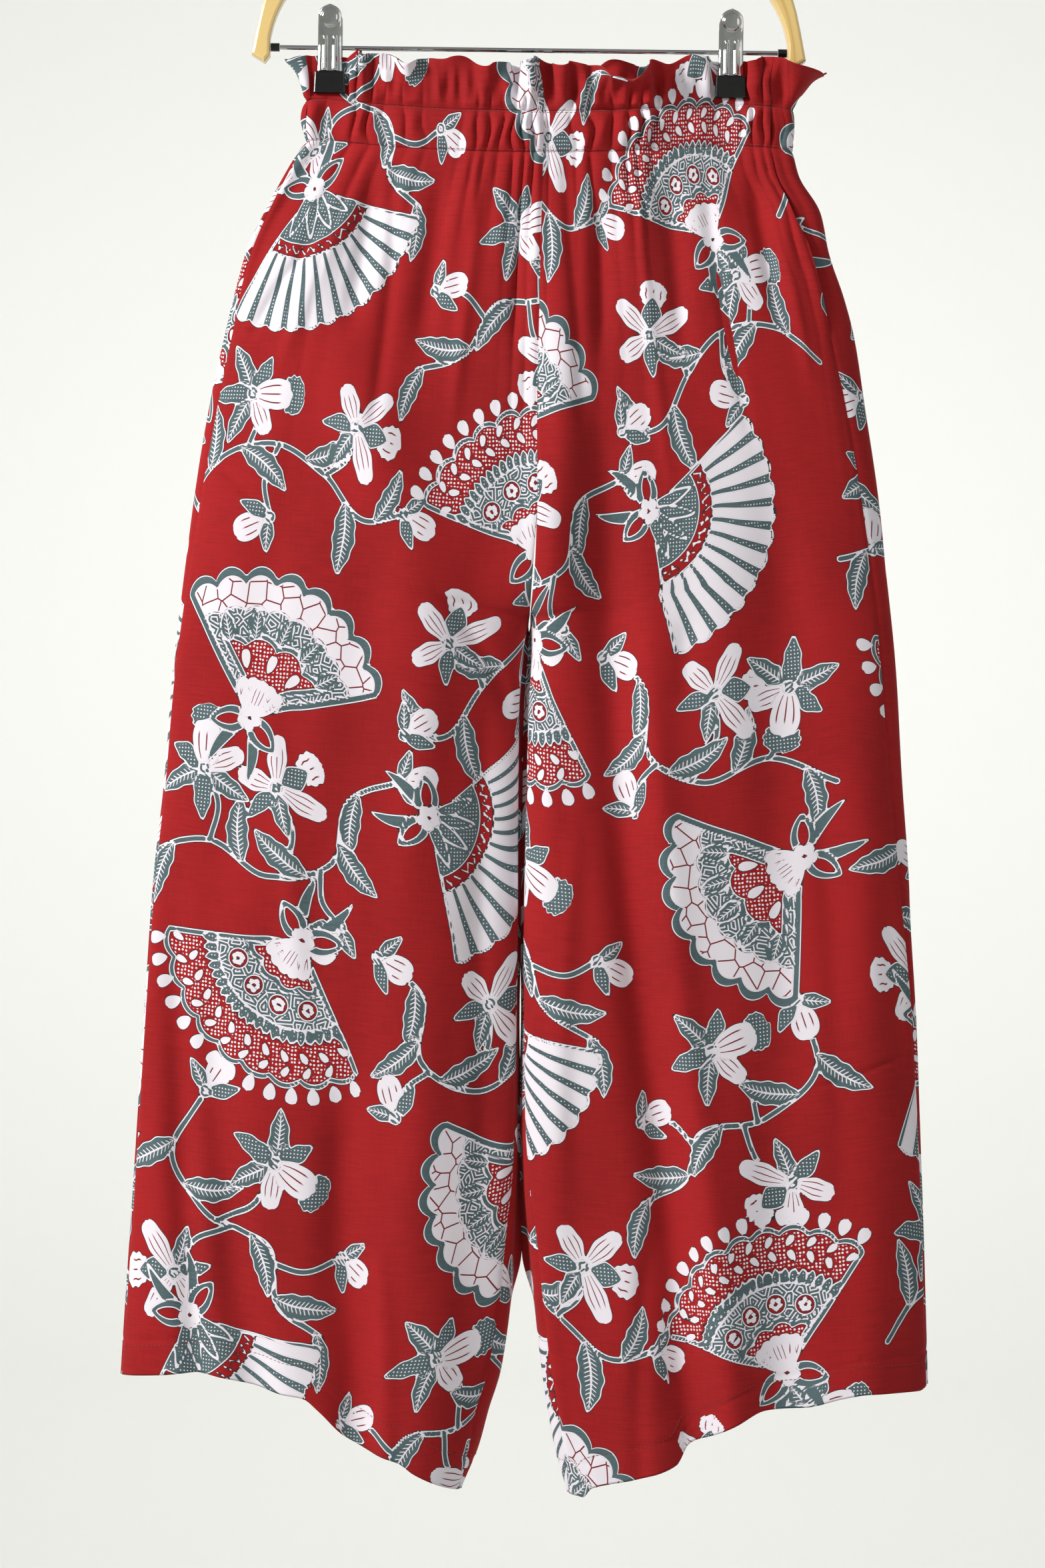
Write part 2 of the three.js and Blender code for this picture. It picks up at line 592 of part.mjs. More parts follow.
function hangerHook() {
  const centreZ = hookWireRadius - hookRadius;
  const neckZ = woodTopZ + partGap;
  const arcPoints = [];
  for (let turn = -50; turn <= 195; turn += 12.25) {
    const angle = THREE.MathUtils.degToRad(turn);
    const [x, z] = [hookRadius * Math.cos(angle), hookRadius * Math.sin(angle)];
    arcPoints.push(new THREE.Vector3(x, 0, centreZ + z));
  }
  const stem = [
    new THREE.Vector3(0, 0, neckZ), new THREE.Vector3(0, 0, neckZ + 8),
    new THREE.Vector3(4, 0, neckZ + 16),
  ];
  const path = new THREE.CatmullRomCurve3([...stem, ...arcPoints], false, 'centripetal');
  const section = new THREE.Shape();
  section.absarc(0, 0, hookWireRadius, 0, 2 * Math.PI, false);
  const geometry = new THREE.ExtrudeGeometry(section, {
    steps: 36, extrudePath: path, bevelEnabled: false, curveSegments: 4,
  });
  addPiece('hanger_hook', geometry, chrome());

  const ferruleProfile = [
    [hookWireRadius + partGap, 0], [ferruleRadius, 0], [ferruleRadius - 0.6, ferruleHeight],
    [hookWireRadius + partGap, ferruleHeight], [hookWireRadius + partGap, 0],
  ];
  const ferrule = new THREE.LatheGeometry(ferruleProfile.map((p) => new THREE.Vector2(...p)), 16);
  const piece = addPiece('hanger_ferrule', ferrule, chrome());
  piece.rotation.x = Math.PI / 2;
  piece.position.z = woodTopZ + partGap;
}

// Clips: sprung jaws with rubber pads, pinching the frill
const jawSide = [
  { down: 0, y: 10 }, { down: 0.25, y: 8.6 }, { down: 0.5, y: 5.3 }, { down: 0.62, y: 4.35 },
  { down: 0.67, y: 4.35 }, { down: 1, y: 4.6 },
];
const jawY = curveThrough(jawSide, 'down', 'y');

function clipJaw(name, clipX, facing) {
  const height = clipTopZ - padTopZ - partGap;
  const point = (across, down) => {
    const rounded = Math.sqrt(1 - (1 - clamp(down / 0.17, 0.02, 1)) ** 2);
    const width = (jawWidth * (0.92 + 0.1 * down) * rounded) / 2;
    const dish = jawDish * Math.abs(across) ** 5;
    return new THREE.Vector3(
      clipX + facing * across * width, -facing * (jawY(down) - dish), clipTopZ - down * height,
    );
  };
  const flute = (across, down) => {
    const along = ease((down - 0.42) / 0.1) * ease((1 - down) / 0.04);
    const ridge = Math.exp(-(((Math.abs(across) - 0.42) / 0.16) ** 2));
    const dome = Math.exp(-((across / 0.6) ** 2) - (((down - 0.2) / 0.13) ** 2));
    return 0.9 * along * ridge + 0.8 * dome;
  };
  const columns = spread(-1, 1, 12);
  const rows = [0, 0.05, 0.17, 0.3, 0.43, 0.53, 0.94, 1];
  addPiece(name, wallGeometry(point, () => columns, rows, jawWall, flute), chrome());
}

function clipPad(name, clipX, facing) {
  const shape = new THREE.Shape();
  const [half, low] = [padWidth / 2 - padBevel, padTopZ - padHeight];
  shape.moveTo(-half, low + padBevel);
  shape.lineTo(half, low + padBevel);
  shape.lineTo(half - 0.6, padTopZ - padBevel);
  shape.lineTo(-half + 0.6, padTopZ - padBevel);
  const geometry = new THREE.ExtrudeGeometry(shape, {
    depth: padThickness - 2 * padBevel, bevelEnabled: true, bevelThickness: padBevel,
    bevelSize: padBevel, bevelSegments: 2, steps: 1,
  });
  const pad = addPiece(name, geometry, rubber());
  pad.rotation.x = Math.PI / 2;
  const nearFace = gripHalf + partGap;
  pad.position.set(clipX, facing > 0 ? -nearFace - padBevel : nearFace + padThickness - padBevel, 0);
}

hangerArms();
hangerHook();
barAlongX('hanger_rod', -rodHalfLength, rodHalfLength, rodRadius, 0, rodZ, chrome());
const capInner = rodHalfLength + partGap;
barAlongX('rod_cap_right', -capInner - capLength, -capInner, capRadius, 0, rodZ, rubber());
barAlongX('rod_cap_left', capInner, capInner + capLength, capRadius, 0, rodZ, rubber());
Object.entries(clipCentres).forEach(([where, x]) => {
  clipJaw(`clip_${where}_front_jaw`, x, 1);
  clipJaw(`clip_${where}_back_jaw`, x, -1);
  clipPad(`clip_${where}_front_pad`, x, 1);
  clipPad(`clip_${where}_back_pad`, x, -1);
  const half = springLength / 2;
  barAlongX(`clip_${where}_spring`, x - half, x + half, springRadius, springBore, rodZ, chrome());
});

export default trousers;
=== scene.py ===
# Wide-leg lounge pants on a clip hanger: printed cotton shells, hanger finishes, light and camera.
import math
from functools import partial

import bpy
import numpy as np
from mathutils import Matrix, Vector


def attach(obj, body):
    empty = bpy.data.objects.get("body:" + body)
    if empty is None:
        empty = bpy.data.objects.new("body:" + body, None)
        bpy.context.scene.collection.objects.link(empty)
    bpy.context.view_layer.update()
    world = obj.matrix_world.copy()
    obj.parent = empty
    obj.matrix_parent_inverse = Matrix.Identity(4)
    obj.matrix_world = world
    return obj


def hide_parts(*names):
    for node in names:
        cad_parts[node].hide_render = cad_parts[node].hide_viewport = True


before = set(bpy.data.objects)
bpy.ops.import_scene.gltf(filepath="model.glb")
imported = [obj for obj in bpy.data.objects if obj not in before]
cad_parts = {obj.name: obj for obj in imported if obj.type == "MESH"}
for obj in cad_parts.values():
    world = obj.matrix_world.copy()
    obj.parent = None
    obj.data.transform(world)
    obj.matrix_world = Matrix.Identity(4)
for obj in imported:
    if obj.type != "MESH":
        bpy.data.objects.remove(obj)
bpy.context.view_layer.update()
mm = 0.001


def namedRows(columns, *rows):  # a table: the names of its columns, then its rows
    return [dict(zip(columns, row)) for row in rows]


# The garment's shape, in millimetres, as the solids have it
waist = {
    "leftX": -152.5, "rightX": 183, "topZ": -225.5, "sag": 9, "endFall": 0.1, "endRadius": 7,
    "casingHeight": 28.5, "gatherPitch": 12, "frillHeight": 33, "frillWall": 1.0, "casingWall": 2.0,
    "clipCentres": (-137, 139.5), "gripHalf": 1.25, "gripHalfWidth": 12, "gripDrop": 2.5,
}
waistOpenness = {
    "x": [-152.5, -137, -120, -85, -40, 10, 60, 105, 128, 139.5, 152, 168, 183],
    "half": [4.4, 2.9, 4.0, 9, 13, 15, 13, 8.5, 3.8, 2.9, 4.4, 8, 8],
}
centreSeam = {"down": [0, 0.1, 0.2, 0.26, 0.3, 0.345], "x": [10.8, 9.7, 8.6, 9.4, 8.2, 5.6]}
rightLegSide = {
    "down": [0, 0.02, 0.06, 0.09, 0.12, 0.16, 0.2, 0.28, 0.36, 0.44, 0.52, 0.6, 0.7, 0.85, 1],
    "outer": [-152.5, -163.5, -182, -194, -200.5, -208, -215.5, -225.5, -234, -241, -245.5, -252,
              -257, -263.5, -270.5],
    "strip": [1.5, 2, 3.5, 5.5, 5.5, 6, 7, 5, 3, 1.5, 1, 1, 1, 1, 1],
}
leftLegSide = {
    "down": [0, 0.02, 0.05, 0.08, 0.115, 0.15, 0.2, 0.28, 0.36, 0.44, 0.52, 0.6, 0.7, 0.85, 1],
    "outer": [183, 187.5, 202, 208.5, 219, 227, 234.5, 244.3, 252.5, 259, 263.5, 269.5, 275, 281.2, 286.5],
    "strip": [16, 17, 20, 15, 17, 18, 15.5, 12.5, 10.5, 10, 8, 6.5, 3, 1, 1],
}
rightLegInner = {
    "down": [0.345, 0.37, 0.42, 0.5, 0.6, 0.75, 0.84, 0.91, 0.94, 0.97, 1],
    "inner": [5.6, 2, -0.8, -0.6, 0.3, 1.4, -0.5, -8, -16, -23, -34],
    "strip": [0, 0, 0, 0, 0, 2, 7, 8, 8, 6, 1],
}
leftLegInner = {
    "down": [0.345, 0.37, 0.42, 0.5, 0.6, 0.72, 0.77, 0.82, 0.89, 0.94, 0.97, 1],
    "inner": [5.6, 6.8, 5, 4.2, 3.6, 3.9, 5.7, 10.2, 17.7, 24.7, 30, 38],
    "strip": [0, 0, 0, 0, 0, 2, 4, 6, 6, 7, 6, 1],
}
legDepth = {
    "down": [0, 0.06, 0.13, 0.25, 0.36, 0.5, 0.7, 0.88, 1],
    "front": [15, 18, 23, 27, 27, 25, 25, 28, 32],
    "back": [15, 18, 24, 32, 31, 27, 25, 26, 28],
}
rightHem = {
    "across": [0, 0.12, 0.23, 0.31, 0.39, 0.47, 0.54, 0.585, 0.66, 0.74, 0.82, 0.86, 0.935, 1],
    "z": [-1105.4, -1103.2, -1101, -1103.8, -1108, -1113.8, -1116.5, -1125, -1142.5, -1153, -1160,
          -1167, -1176, -1181.6],
}
leftHem = {
    "across": [0, 0.03, 0.17, 0.24, 0.35, 0.46, 0.54, 0.61, 0.665, 0.7, 0.79, 0.93, 0.955, 1],
    "z": [-1105.5, -1109, -1109.3, -1112.3, -1119.5, -1121.5, -1130.5, -1139.6, -1146.5, -1160.5, -1168.8,
          -1177.5, -1184.2, -1183],
}
crotch = {"start": 0.26, "end": 0.345}
waistBlendEnd = 0.13
sectionFullness = 0.75
backHemFall = 6

# Folds: x at four heights z, half width and height
foldColumns = ("x", "z", "width", "rise")
frontFolds = namedRows(foldColumns,
    ((-150, -66, -66, -58), (-345, -598, -770, -1180), 30, 10),
    ((-236, -231, -224, -214), (-780, -920, -1010, -1110), 11, -9),
    ((-216, -205, -190, -172), (-800, -920, -1040, -1130), 15, -7),
    ((-120, -118, -110, -104), (-900, -1000, -1080, -1160), 16, -8),
    ((22, 25, 17, 22), (-270, -450, -600, -1180), 17, 8),
    ((52, 74, 104, 126), (-450, -740, -980, -1170), 17, -13),
    ((78, 104, 134, 152), (-560, -800, -1000, -1150), 16, 8),
    ((172, 177, 181, 186), (-440, -600, -760, -1120), 24, -7),
    ((232, 240, 246, 250), (-560, -760, -940, -1115), 18, 6),
    ((-144, -163, -182, -196), (-256, -290, -325, -375), 7, -4),
    ((-101, -107, -113, -122), (-256, -300, -345, -400), 8, -6),
    ((-58, -60, -66, -74), (-256, -300, -345, -420), 9, -5),
    ((-6, -5, -6, -8), (-258, -300, -350, -420), 7, -6),
    ((50, 51, 52, 54), (-258, -300, -350, -430), 8, -6),
    ((96, 99, 103, 110), (-258, -300, -345, -420), 8, -5),
    ((155, 158, 164, 176), (-256, -290, -325, -390), 7, -6))
backFolds = namedRows(foldColumns,
    ((-140, -120, -112, -108), (-340, -600, -800, -1180), 26, 9),
    ((-200, -206, -205, -200), (-500, -740, -940, -1120), 17, -8),
    ((-60, -52, -56, -66), (-420, -640, -860, -1170), 20, -9),
    ((70, 76, 88, 96), (-430, -700, -940, -1170), 20, -9),
    ((140, 150, 160, 168), (-400, -640, -860, -1150), 26, 9),
    ((206, 222, 232, 238), (-480, -720, -940, -1120), 16, -7),
    ((-112, -118, -126, -134), (-256, -300, -350, -420), 9, -6),
    ((-50, -50, -54, -58), (-258, -300, -350, -430), 8, -6),
    ((12, 12, 12, 12), (-258, -300, -350, -410), 8, -5),
    ((66, 68, 72, 76), (-258, -300, -350, -430), 9, -6),
    ((120, 127, 136, 148), (-256, -300, -350, -420), 9, -6))

# Frill waves: how far the cloth leans outwards at its top edge, in degrees
frontFrill = {
    "x": [-152.5, -148, -144, -130, -116, -96, -82, -70, -54, -38, -24, -10, 4, 16, 28, 40, 56, 68,
          84, 100, 120, 146, 154, 161, 170, 178, 183],
    "lean": [76, 52, 6, 8, 26, 12, 46, -8, 24, 6, 44, -8, 34, -6, 42, 14, 118, 128,
             40, 10, 24, 6, 44, 0, 44, 62, 74],
}
backFrill = {
    "x": [-152.5, -146, -128, -112, -94, -76, -56, -36, -16, 4, 24, 44, 62, 82, 100, 118, 150, 164, 176, 183],
    "lean": [76, 48, 8, 34, -4, 30, -6, 40, 0, 44, -6, 30, -8, 26, -4, 40, 10, 50, 40, 74],
}
pocketBag = {"down": [0.05, 0.12, 0.18, 0.24, 0.27], "width": [62, 74, 72, 52, 26]}


def ease(t):
    t = np.clip(t, 0, 1)
    return t * t * (3 - 2 * t)


def lerp(a, b, t):
    return a + (b - a) * t


def smoothCurve(table, along, value):  # through every row, with no overshoot between them
    xs, ys = np.array(table[along], float), np.array(table[value], float)
    slopes = np.diff(ys) / np.diff(xs)
    tangents = np.empty_like(ys)
    tangents[0], tangents[-1] = slopes[0], slopes[-1]
    before, after = slopes[:-1], slopes[1:]
    total = np.where(before + after == 0, 1, before + after)
    tangents[1:-1] = np.where(before * after <= 0, 0, 2 * before * after / total)

    def at(x):
        x = np.clip(x, xs[0], xs[-1])
        i = np.clip(np.searchsorted(xs, x) - 1, 0, len(xs) - 2)
        span = xs[i + 1] - xs[i]
        t = (x - xs[i]) / span
        return (ys[i] + (ys[i + 1] - ys[i]) * t * t * (3 - 2 * t)
                + span * (tangents[i] * (t - 1) ** 2 * t + tangents[i + 1] * t * t * (t - 1)))
    return at


def foldCurves(folds):
    made = []
    for fold in folds:
        falls = [-z for z in fold["z"]]
        line = smoothCurve({"fall": falls, "x": fold["x"]}, "fall", "x")
        made.append({**fold, "top": falls[0], "bottom": falls[-1], "line": line})
    return made


def makeLeg(side, inner, hem, hand):
    return {
        "outer": smoothCurve(side, "down", "outer"), "sideStrip": smoothCurve(side, "down", "strip"),
        "inner": smoothCurve(inner, "down", "inner"), "innerStrip": smoothCurve(inner, "down", "strip"),
        "hemZ": smoothCurve(hem, "across", "z"), "hand": hand,
    }


rightLeg = makeLeg(rightLegSide, rightLegInner, rightHem, 1)
leftLeg = makeLeg(leftLegSide, leftLegInner, leftHem, -1)
centreX = smoothCurve(centreSeam, "down", "x")
frontDepth, backDepth = smoothCurve(legDepth, "down", "front"), smoothCurve(legDepth, "down", "back")
frontFoldCurves, backFoldCurves = foldCurves(frontFolds), foldCurves(backFolds)
waistHalf = smoothCurve(waistOpenness, "x", "half")
frontLean, backLean = smoothCurve(frontFrill, "x", "lean"), smoothCurve(backFrill, "x", "lean")


def waistZ(x):
    between = np.clip(1 - (x / waist["clipCentres"][1]) ** 2, 0, 1)
    beyond = np.maximum(0, np.abs(x) - waist["clipCentres"][1])
    return waist["topZ"] - waist["sag"] * between - waist["endFall"] * beyond


def waistDepth(x):
    fromEnd = np.clip(np.minimum(x - waist["leftX"], waist["rightX"] - x) / waist["endRadius"], 0, 1)
    return waistHalf(x) * np.sqrt(1 - (1 - fromEnd) ** 2)


# Gathers: 0 in a groove and about 1 on a crown; row is 0 and 1 at the two rows of stitching
gatherLook = {
    "atRow": 1.8, "dip": 1.6, "dipReach": 2.2, "backShift": 5, "least": 0.25, "most": 1.5, "roundness": 0.7,
}


def gatherPuff(x, row, isFront):
    shift = 0 if isFront else gatherLook["backShift"]
    x = x + shift + 1.6 * np.sin(3 * row + x / 17) + 1.1 * np.sin(6 * row + x / 5.3)
    phase = math.pi * x / waist["gatherPitch"] + 2.2 * np.sin(x / 31) + 1.4 * np.sin(x / 13.7 + 1)
    fullness = 0.85 + 0.6 * np.sin(x / 23 + 0.7) * np.sin(x / 8.6 + 2) + 0.36 * np.sin(x / 37 + row)
    crown = np.abs(np.sin(phase + 0.4 * np.sin(x / 6.1))) ** gatherLook["roundness"]
    return np.clip(fullness, gatherLook["least"], gatherLook["most"]) * crown


def rowRelief(puff, away):  # the cloth at a gathering row and away millimetres from it
    dip = gatherLook["dip"] * (0.35 + 0.4 * puff) * np.exp(-(away / gatherLook["dipReach"]) ** 2)
    return gatherLook["atRow"] * puff - dip


def foldLift(folds, x, z):
    fall = -z
    total = np.zeros_like(x)
    for fold in folds:
        length = fold["bottom"] - fold["top"]
        start = ease((fall - fold["top"]) / (0.3 * length) + 0.3)
        end = 1 if fold["bottom"] > 1100 else ease((fold["bottom"] - fall) / (0.35 * length))
        away = (x - fold["line"](fall)) / fold["width"]
        total += fold["rise"] * start * end * np.exp(-away * away)
    return total


def legBase(leg, around, down):  # around: 0 outer edge, 1 inner edge, the back below 0 or past 1
    isFront = (around >= 0) & (around <= 1)
    across = np.where(around < 0, -around, np.where(around > 1, 2 - around, around))
    share = (1 - np.cos(math.pi * across)) / 2
    topX = lerp(leg["outer"](0), centreX(0), share)
    innerX = np.where(down < crotch["end"], centreX(down), leg["inner"](down))
    x = lerp(leg["outer"](down), innerX, share)
    backFall = np.where(isFront, 0, backHemFall * np.sin(math.pi * across))
    z = lerp(waistZ(topX) - waist["casingHeight"], leg["hemZ"](share) - backFall, down)
    both = np.sin(math.pi * np.clip(across, 0, 1)) ** sectionFullness
    outerOnly = np.where(across < 0.5, both, 1)
    into = np.clip((down - crotch["start"]) / (crotch["end"] - crotch["start"]), 0, 1)
    profile = lerp(outerOnly, both, 1 - np.sqrt(1 - into * into))
    depth = np.where(isFront, frontDepth(down), backDepth(down))
    lift = np.where(isFront, foldLift(frontFoldCurves, x, z), foldLift(backFoldCurves, x, z)) * profile
    blend = ease(down / waistBlendEnd)
    away = lerp(waistDepth(topX), depth * profile, blend) + lift * ease(down / 0.06)
    return np.stack([x, np.where(isFront, -away, away), z], -1), topX


def wrapBack(around):  # past the back's far end, on to the front again
    return np.where(around < -1, around + 2, around)


def aroundAtStrip(leg, down, strip):
    innerX = np.where(down < crotch["end"], centreX(down), leg["inner"](down))
    width = np.abs(innerX - leg["outer"](down))
    return np.arccos(1 - 2 * strip / width) / math.pi


def gridNormals(points, hand):  # points[row, column]; the columns run with the hand of the leg
    acrossStep = np.gradient(points, axis=1)
    downStep = np.gradient(points, axis=0)
    normal = np.cross(downStep, acrossStep) * hand
    return normal / np.maximum(np.linalg.norm(normal, axis=-1, keepdims=True), 1e-9)


def runLength(points, axis):
    steps = np.linalg.norm(np.diff(points, axis=axis), axis=-1)
    zero = np.zeros_like(np.take(steps, [0], axis=axis))
    return np.concatenate([zero, np.cumsum(steps, axis=axis)], axis=axis)


# The print: flowers, leaves, stems and folding fans drawn by rule in the flat cut of the cloth
printLook = {"width": 360, "height": 780, "reach": 8, "margin": 150, "stemHalf": 2.2, "bleed": 1.4,
             "leafAngle": 52, "leafWide": 0.36}
fieldNames = ("grey", "pale", "along", "across")
fillNames = ("feather", "petal", "speck", "dots", "maze", "crackle")

# Blossoms: petals from back to front; start is how far from the centre a petal begins
petalColumns = ("turn", "start", "long", "wide", "tone", "fill", "lobes")
blossoms = {
    "orchid": namedRows(petalColumns,
        (90, 19, 25, 27, "grey", "speck", 5),
        (208, 0, 39, 15, "grey", "feather", 3),
        (-28, 0, 39, 15, "grey", "feather", 3),
        (268, 0, 36, 14, "grey", "speck", 3),
        (153, 0, 31, 15, "pale", "petal", 2),
        (30, 0, 30, 14, "grey", "speck", 3),
        (90, 0, 33, 20, "pale", "petal", 0)),
    "sideOrchid": namedRows(petalColumns,
        (66, 16, 22, 24, "pale", "petal", 4),
        (66, 0, 27, 18, "grey", "speck", 0),
        (172, 0, 34, 13, "grey", "feather", 3),
        (232, 0, 30, 12, "grey", "speck", 2),
        (8, 0, 36, 14, "pale", "petal", 2),
        (122, 0, 40, 15, "pale", "petal", 2),
        (296, 0, 30, 15, "pale", "petal", 2)),
    "bud": namedRows(petalColumns,
        (92, 0, 30, 18, "pale", "petal", 0),
        (138, 0, 27, 11, "grey", "speck", 2),
        (30, 0, 25, 11, "grey", "feather", 2)),
}

# Sprays: the line of a stem, its flowers (kind, x, y, turn, size, where their stalk leaves the stem)
# and its leaves (where, side, length)
sprays = {
    "climbing": {
        "line": [(-88, 40), (-58, 8), (-14, -4), (26, 14), (58, 40), (92, 34)],
        "flowers": [("orchid", -42, -36, -95, 1.0, 0.3), ("sideOrchid", 48, -22, -50, 1.0, 0.62),
                    ("bud", -14, 46, 60, 1.0, 0.42), ("bud", 92, 34, -70, 0.95, 1.0)],
        "leaves": [(0.12, -1, 46), (0.26, 1, 48), (0.52, -1, 46), (0.74, 1, 50), (0.88, -1, 42)],
    },
    "falling": {
        "line": [(-30, -80), (-52, -34), (-20, 4), (24, 18), (36, 56), (72, 78)],
        "flowers": [("orchid", 24, -38, -60, 1.0, 0.45), ("sideOrchid", -44, 46, 110, 1.0, 0.5),
                    ("bud", -30, -80, -150, 1.0, 0.0), ("bud", 78, 22, -60, 0.95, 0.68)],
        "leaves": [(0.16, 1, 46), (0.3, -1, 46), (0.58, 1, 44), (0.78, -1, 48), (0.96, 1, 42)],
    },
    "winding": {
        "line": [(84, -58), (48, -34), (46, 10), (4, 32), (-42, 20), (-88, 42)],
        "flowers": [("sideOrchid", -4, -28, -110, 1.0, 0.52), ("orchid", -58, -26, 170, 1.0, 0.78),
                    ("bud", 62, 50, 20, 1.0, 0.4), ("bud", 84, -58, -110, 1.0, 0.0)],
        "leaves": [(0.14, -1, 44), (0.3, -1, 46), (0.46, 1, 48), (0.66, 1, 46), (0.9, -1, 44)],
    },
}
sprayPlaces = [
    ("climbing", 88, 262, 0, 1), ("winding", 96, 520, 10, 1), ("falling", 88, 4, 0, 1),
    ("falling", 268, 134, 12, -1), ("climbing", 272, 390, -14, -1), ("winding", 262, 656, 0, -1),
]
fans = namedRows(("kind", "x", "y", "turn", "open", "radius"),
    ("pleated", 59, 77, 60, 108, 105),
    ("shell", 74, 446, -70, 112, 104),
    ("arched", 122, 592, 120, 116, 102),
    ("shell", 326, -34, 150, 108, 104),
    ("arched", 289, 316, -108, 112, 101),
    ("pleated", 212, 500, 20, 112, 104))


def newFields(count):
    far = np.full(count, float(printLook["reach"]))
    return {name: far.copy() if name in ("grey", "pale") else np.zeros(count)
            for name in fieldNames + fillNames}


# Covers what lies below; with no tone the red ground comes back
def paint(fields, chosen, distance, tone, fill=None, along=None, across=None):
    for name in ("grey", "pale"):
        fields[name][chosen] = np.maximum(fields[name][chosen], -distance)
    if tone:
        fields[tone][chosen] = np.minimum(fields[tone][chosen], distance)
    on = distance < printLook["bleed"]
    at = chosen[on]
    for name in fillNames:
        fields[name][at] = float(name == fill)
    if along is not None:
        fields["along"][at], fields["across"][at] = along[on], across[on]


def nearby(place, x, y, reach):
    low, high = place["low"], place["high"]
    if x + reach < low[0] or x - reach > high[0] or y + reach < low[1] or y - reach > high[1]:
        return np.empty(0, int)
    points = place["points"]
    return np.nonzero((np.abs(points[:, 0] - x) < reach) & (np.abs(points[:, 1] - y) < reach))[0]


def drawBlade(fields, place, x, y, turn, length, width, tone, fill=None, bend=0.0, lobes=0, blunt=None):
    chosen = nearby(place, x, y, length + printLook["reach"])
    if not len(chosen):
        return
    a = math.radians(turn)
    dx, dy = place["points"][chosen, 0] - x, place["points"][chosen, 1] - y
    s, t = dx * math.cos(a) + dy * math.sin(a), dy * math.cos(a) - dx * math.sin(a)
    t = t - bend * s * (length - s) / length
    blunt = tone == "pale" if blunt is None else blunt
    rise, fall = (0.75, 0.42) if blunt else (0.62, 0.85)
    peak = rise / (rise + fall)
    u = np.clip(s / length, 1e-3, 1 - 1e-3)
    half = width / 2 * u ** rise * (1 - u) ** fall / (peak ** rise * (1 - peak) ** fall)
    half = half * (1 + 0.07 * np.cos(2 * math.pi * lobes * u)) + 0.05
    slope = np.clip(half * (rise / u - fall / (1 - u)) / length, -1.6, 1.6)
    side = (np.abs(t) - half) / np.sqrt(1 + slope * slope)
    ends = np.where(s < 0, np.hypot(s, t), np.hypot(s - length, t))
    distance = np.where((s < 0) | (s > length), ends, side)
    along = u if fill == "petal" else s
    paint(fields, chosen, distance, tone, fill, along, np.clip(t / np.maximum(half, 1.5), -2, 2))


def drawDisc(fields, place, x, y, radius, tone):
    chosen = nearby(place, x, y, radius + printLook["reach"])
    if len(chosen):
        away = np.hypot(place["points"][chosen, 0] - x, place["points"][chosen, 1] - y)
        paint(fields, chosen, away - radius, tone)


def drawBlossom(fields, place, kind, x, y, turn, size):
    for petal in blossoms[kind]:
        a = math.radians(turn + petal["turn"])
        startX, startY = x + size * petal["start"] * math.cos(a), y + size * petal["start"] * math.sin(a)
        drawBlade(fields, place, startX, startY, turn + petal["turn"], size * petal["long"],
                  size * petal["wide"], petal["tone"], petal["fill"], lobes=petal["lobes"],
                  bend=0.0 if petal["tone"] == "pale" else 0.1, blunt=petal["start"] > 0 or None)
    drawDisc(fields, place, x, y, 4.6 * size, "grey")
    drawDisc(fields, place, x, y, 1.5 * size, "grey")


def drawDaisy(fields, place, x, y, size, tone, turn=0.0):
    for petal in range(5):
        drawBlade(fields, place, x, y, turn + 72 * petal, size, 0.72 * size, tone, blunt=True)
    if tone:
        drawDisc(fields, place, x, y, 1.5, None)


def stemPoints(line, steps=9):  # a smooth line through its points
    p = np.array(line, float)
    ends = np.vstack([2 * p[0] - p[1], p, 2 * p[-1] - p[-2]])
    t = np.linspace(0, 1, steps, endpoint=False)[:, None]
    runs = []
    for i in range(len(p) - 1):
        a, b, c, d = ends[i:i + 4]
        runs.append(0.5 * (2 * b + (c - a) * t + (2 * a - 5 * b + 4 * c - d) * t ** 2
                           + (3 * b - a - 3 * c + d) * t ** 3))
    return np.vstack(runs + [p[-1:]])


def drawStem(fields, place, points):
    reach = printLook["reach"]
    low, high = points.min(0) - reach, points.max(0) + reach
    if np.any(high < place["low"]) or np.any(low > place["high"]):
        return
    chosen = np.nonzero(np.all((place["points"] > low) & (place["points"] < high), axis=1))[0]
    if not len(chosen):
        return
    best = np.full(len(chosen), 1e3)
    for a, b in zip(points[:-1], points[1:]):
        step = b - a
        rel = place["points"][chosen] - a
        u = np.clip(rel @ step / (step @ step), 0, 1)
        best = np.minimum(best, np.linalg.norm(rel - u[:, None] * step, axis=1))
    paint(fields, chosen, best - printLook["stemHalf"], "grey")


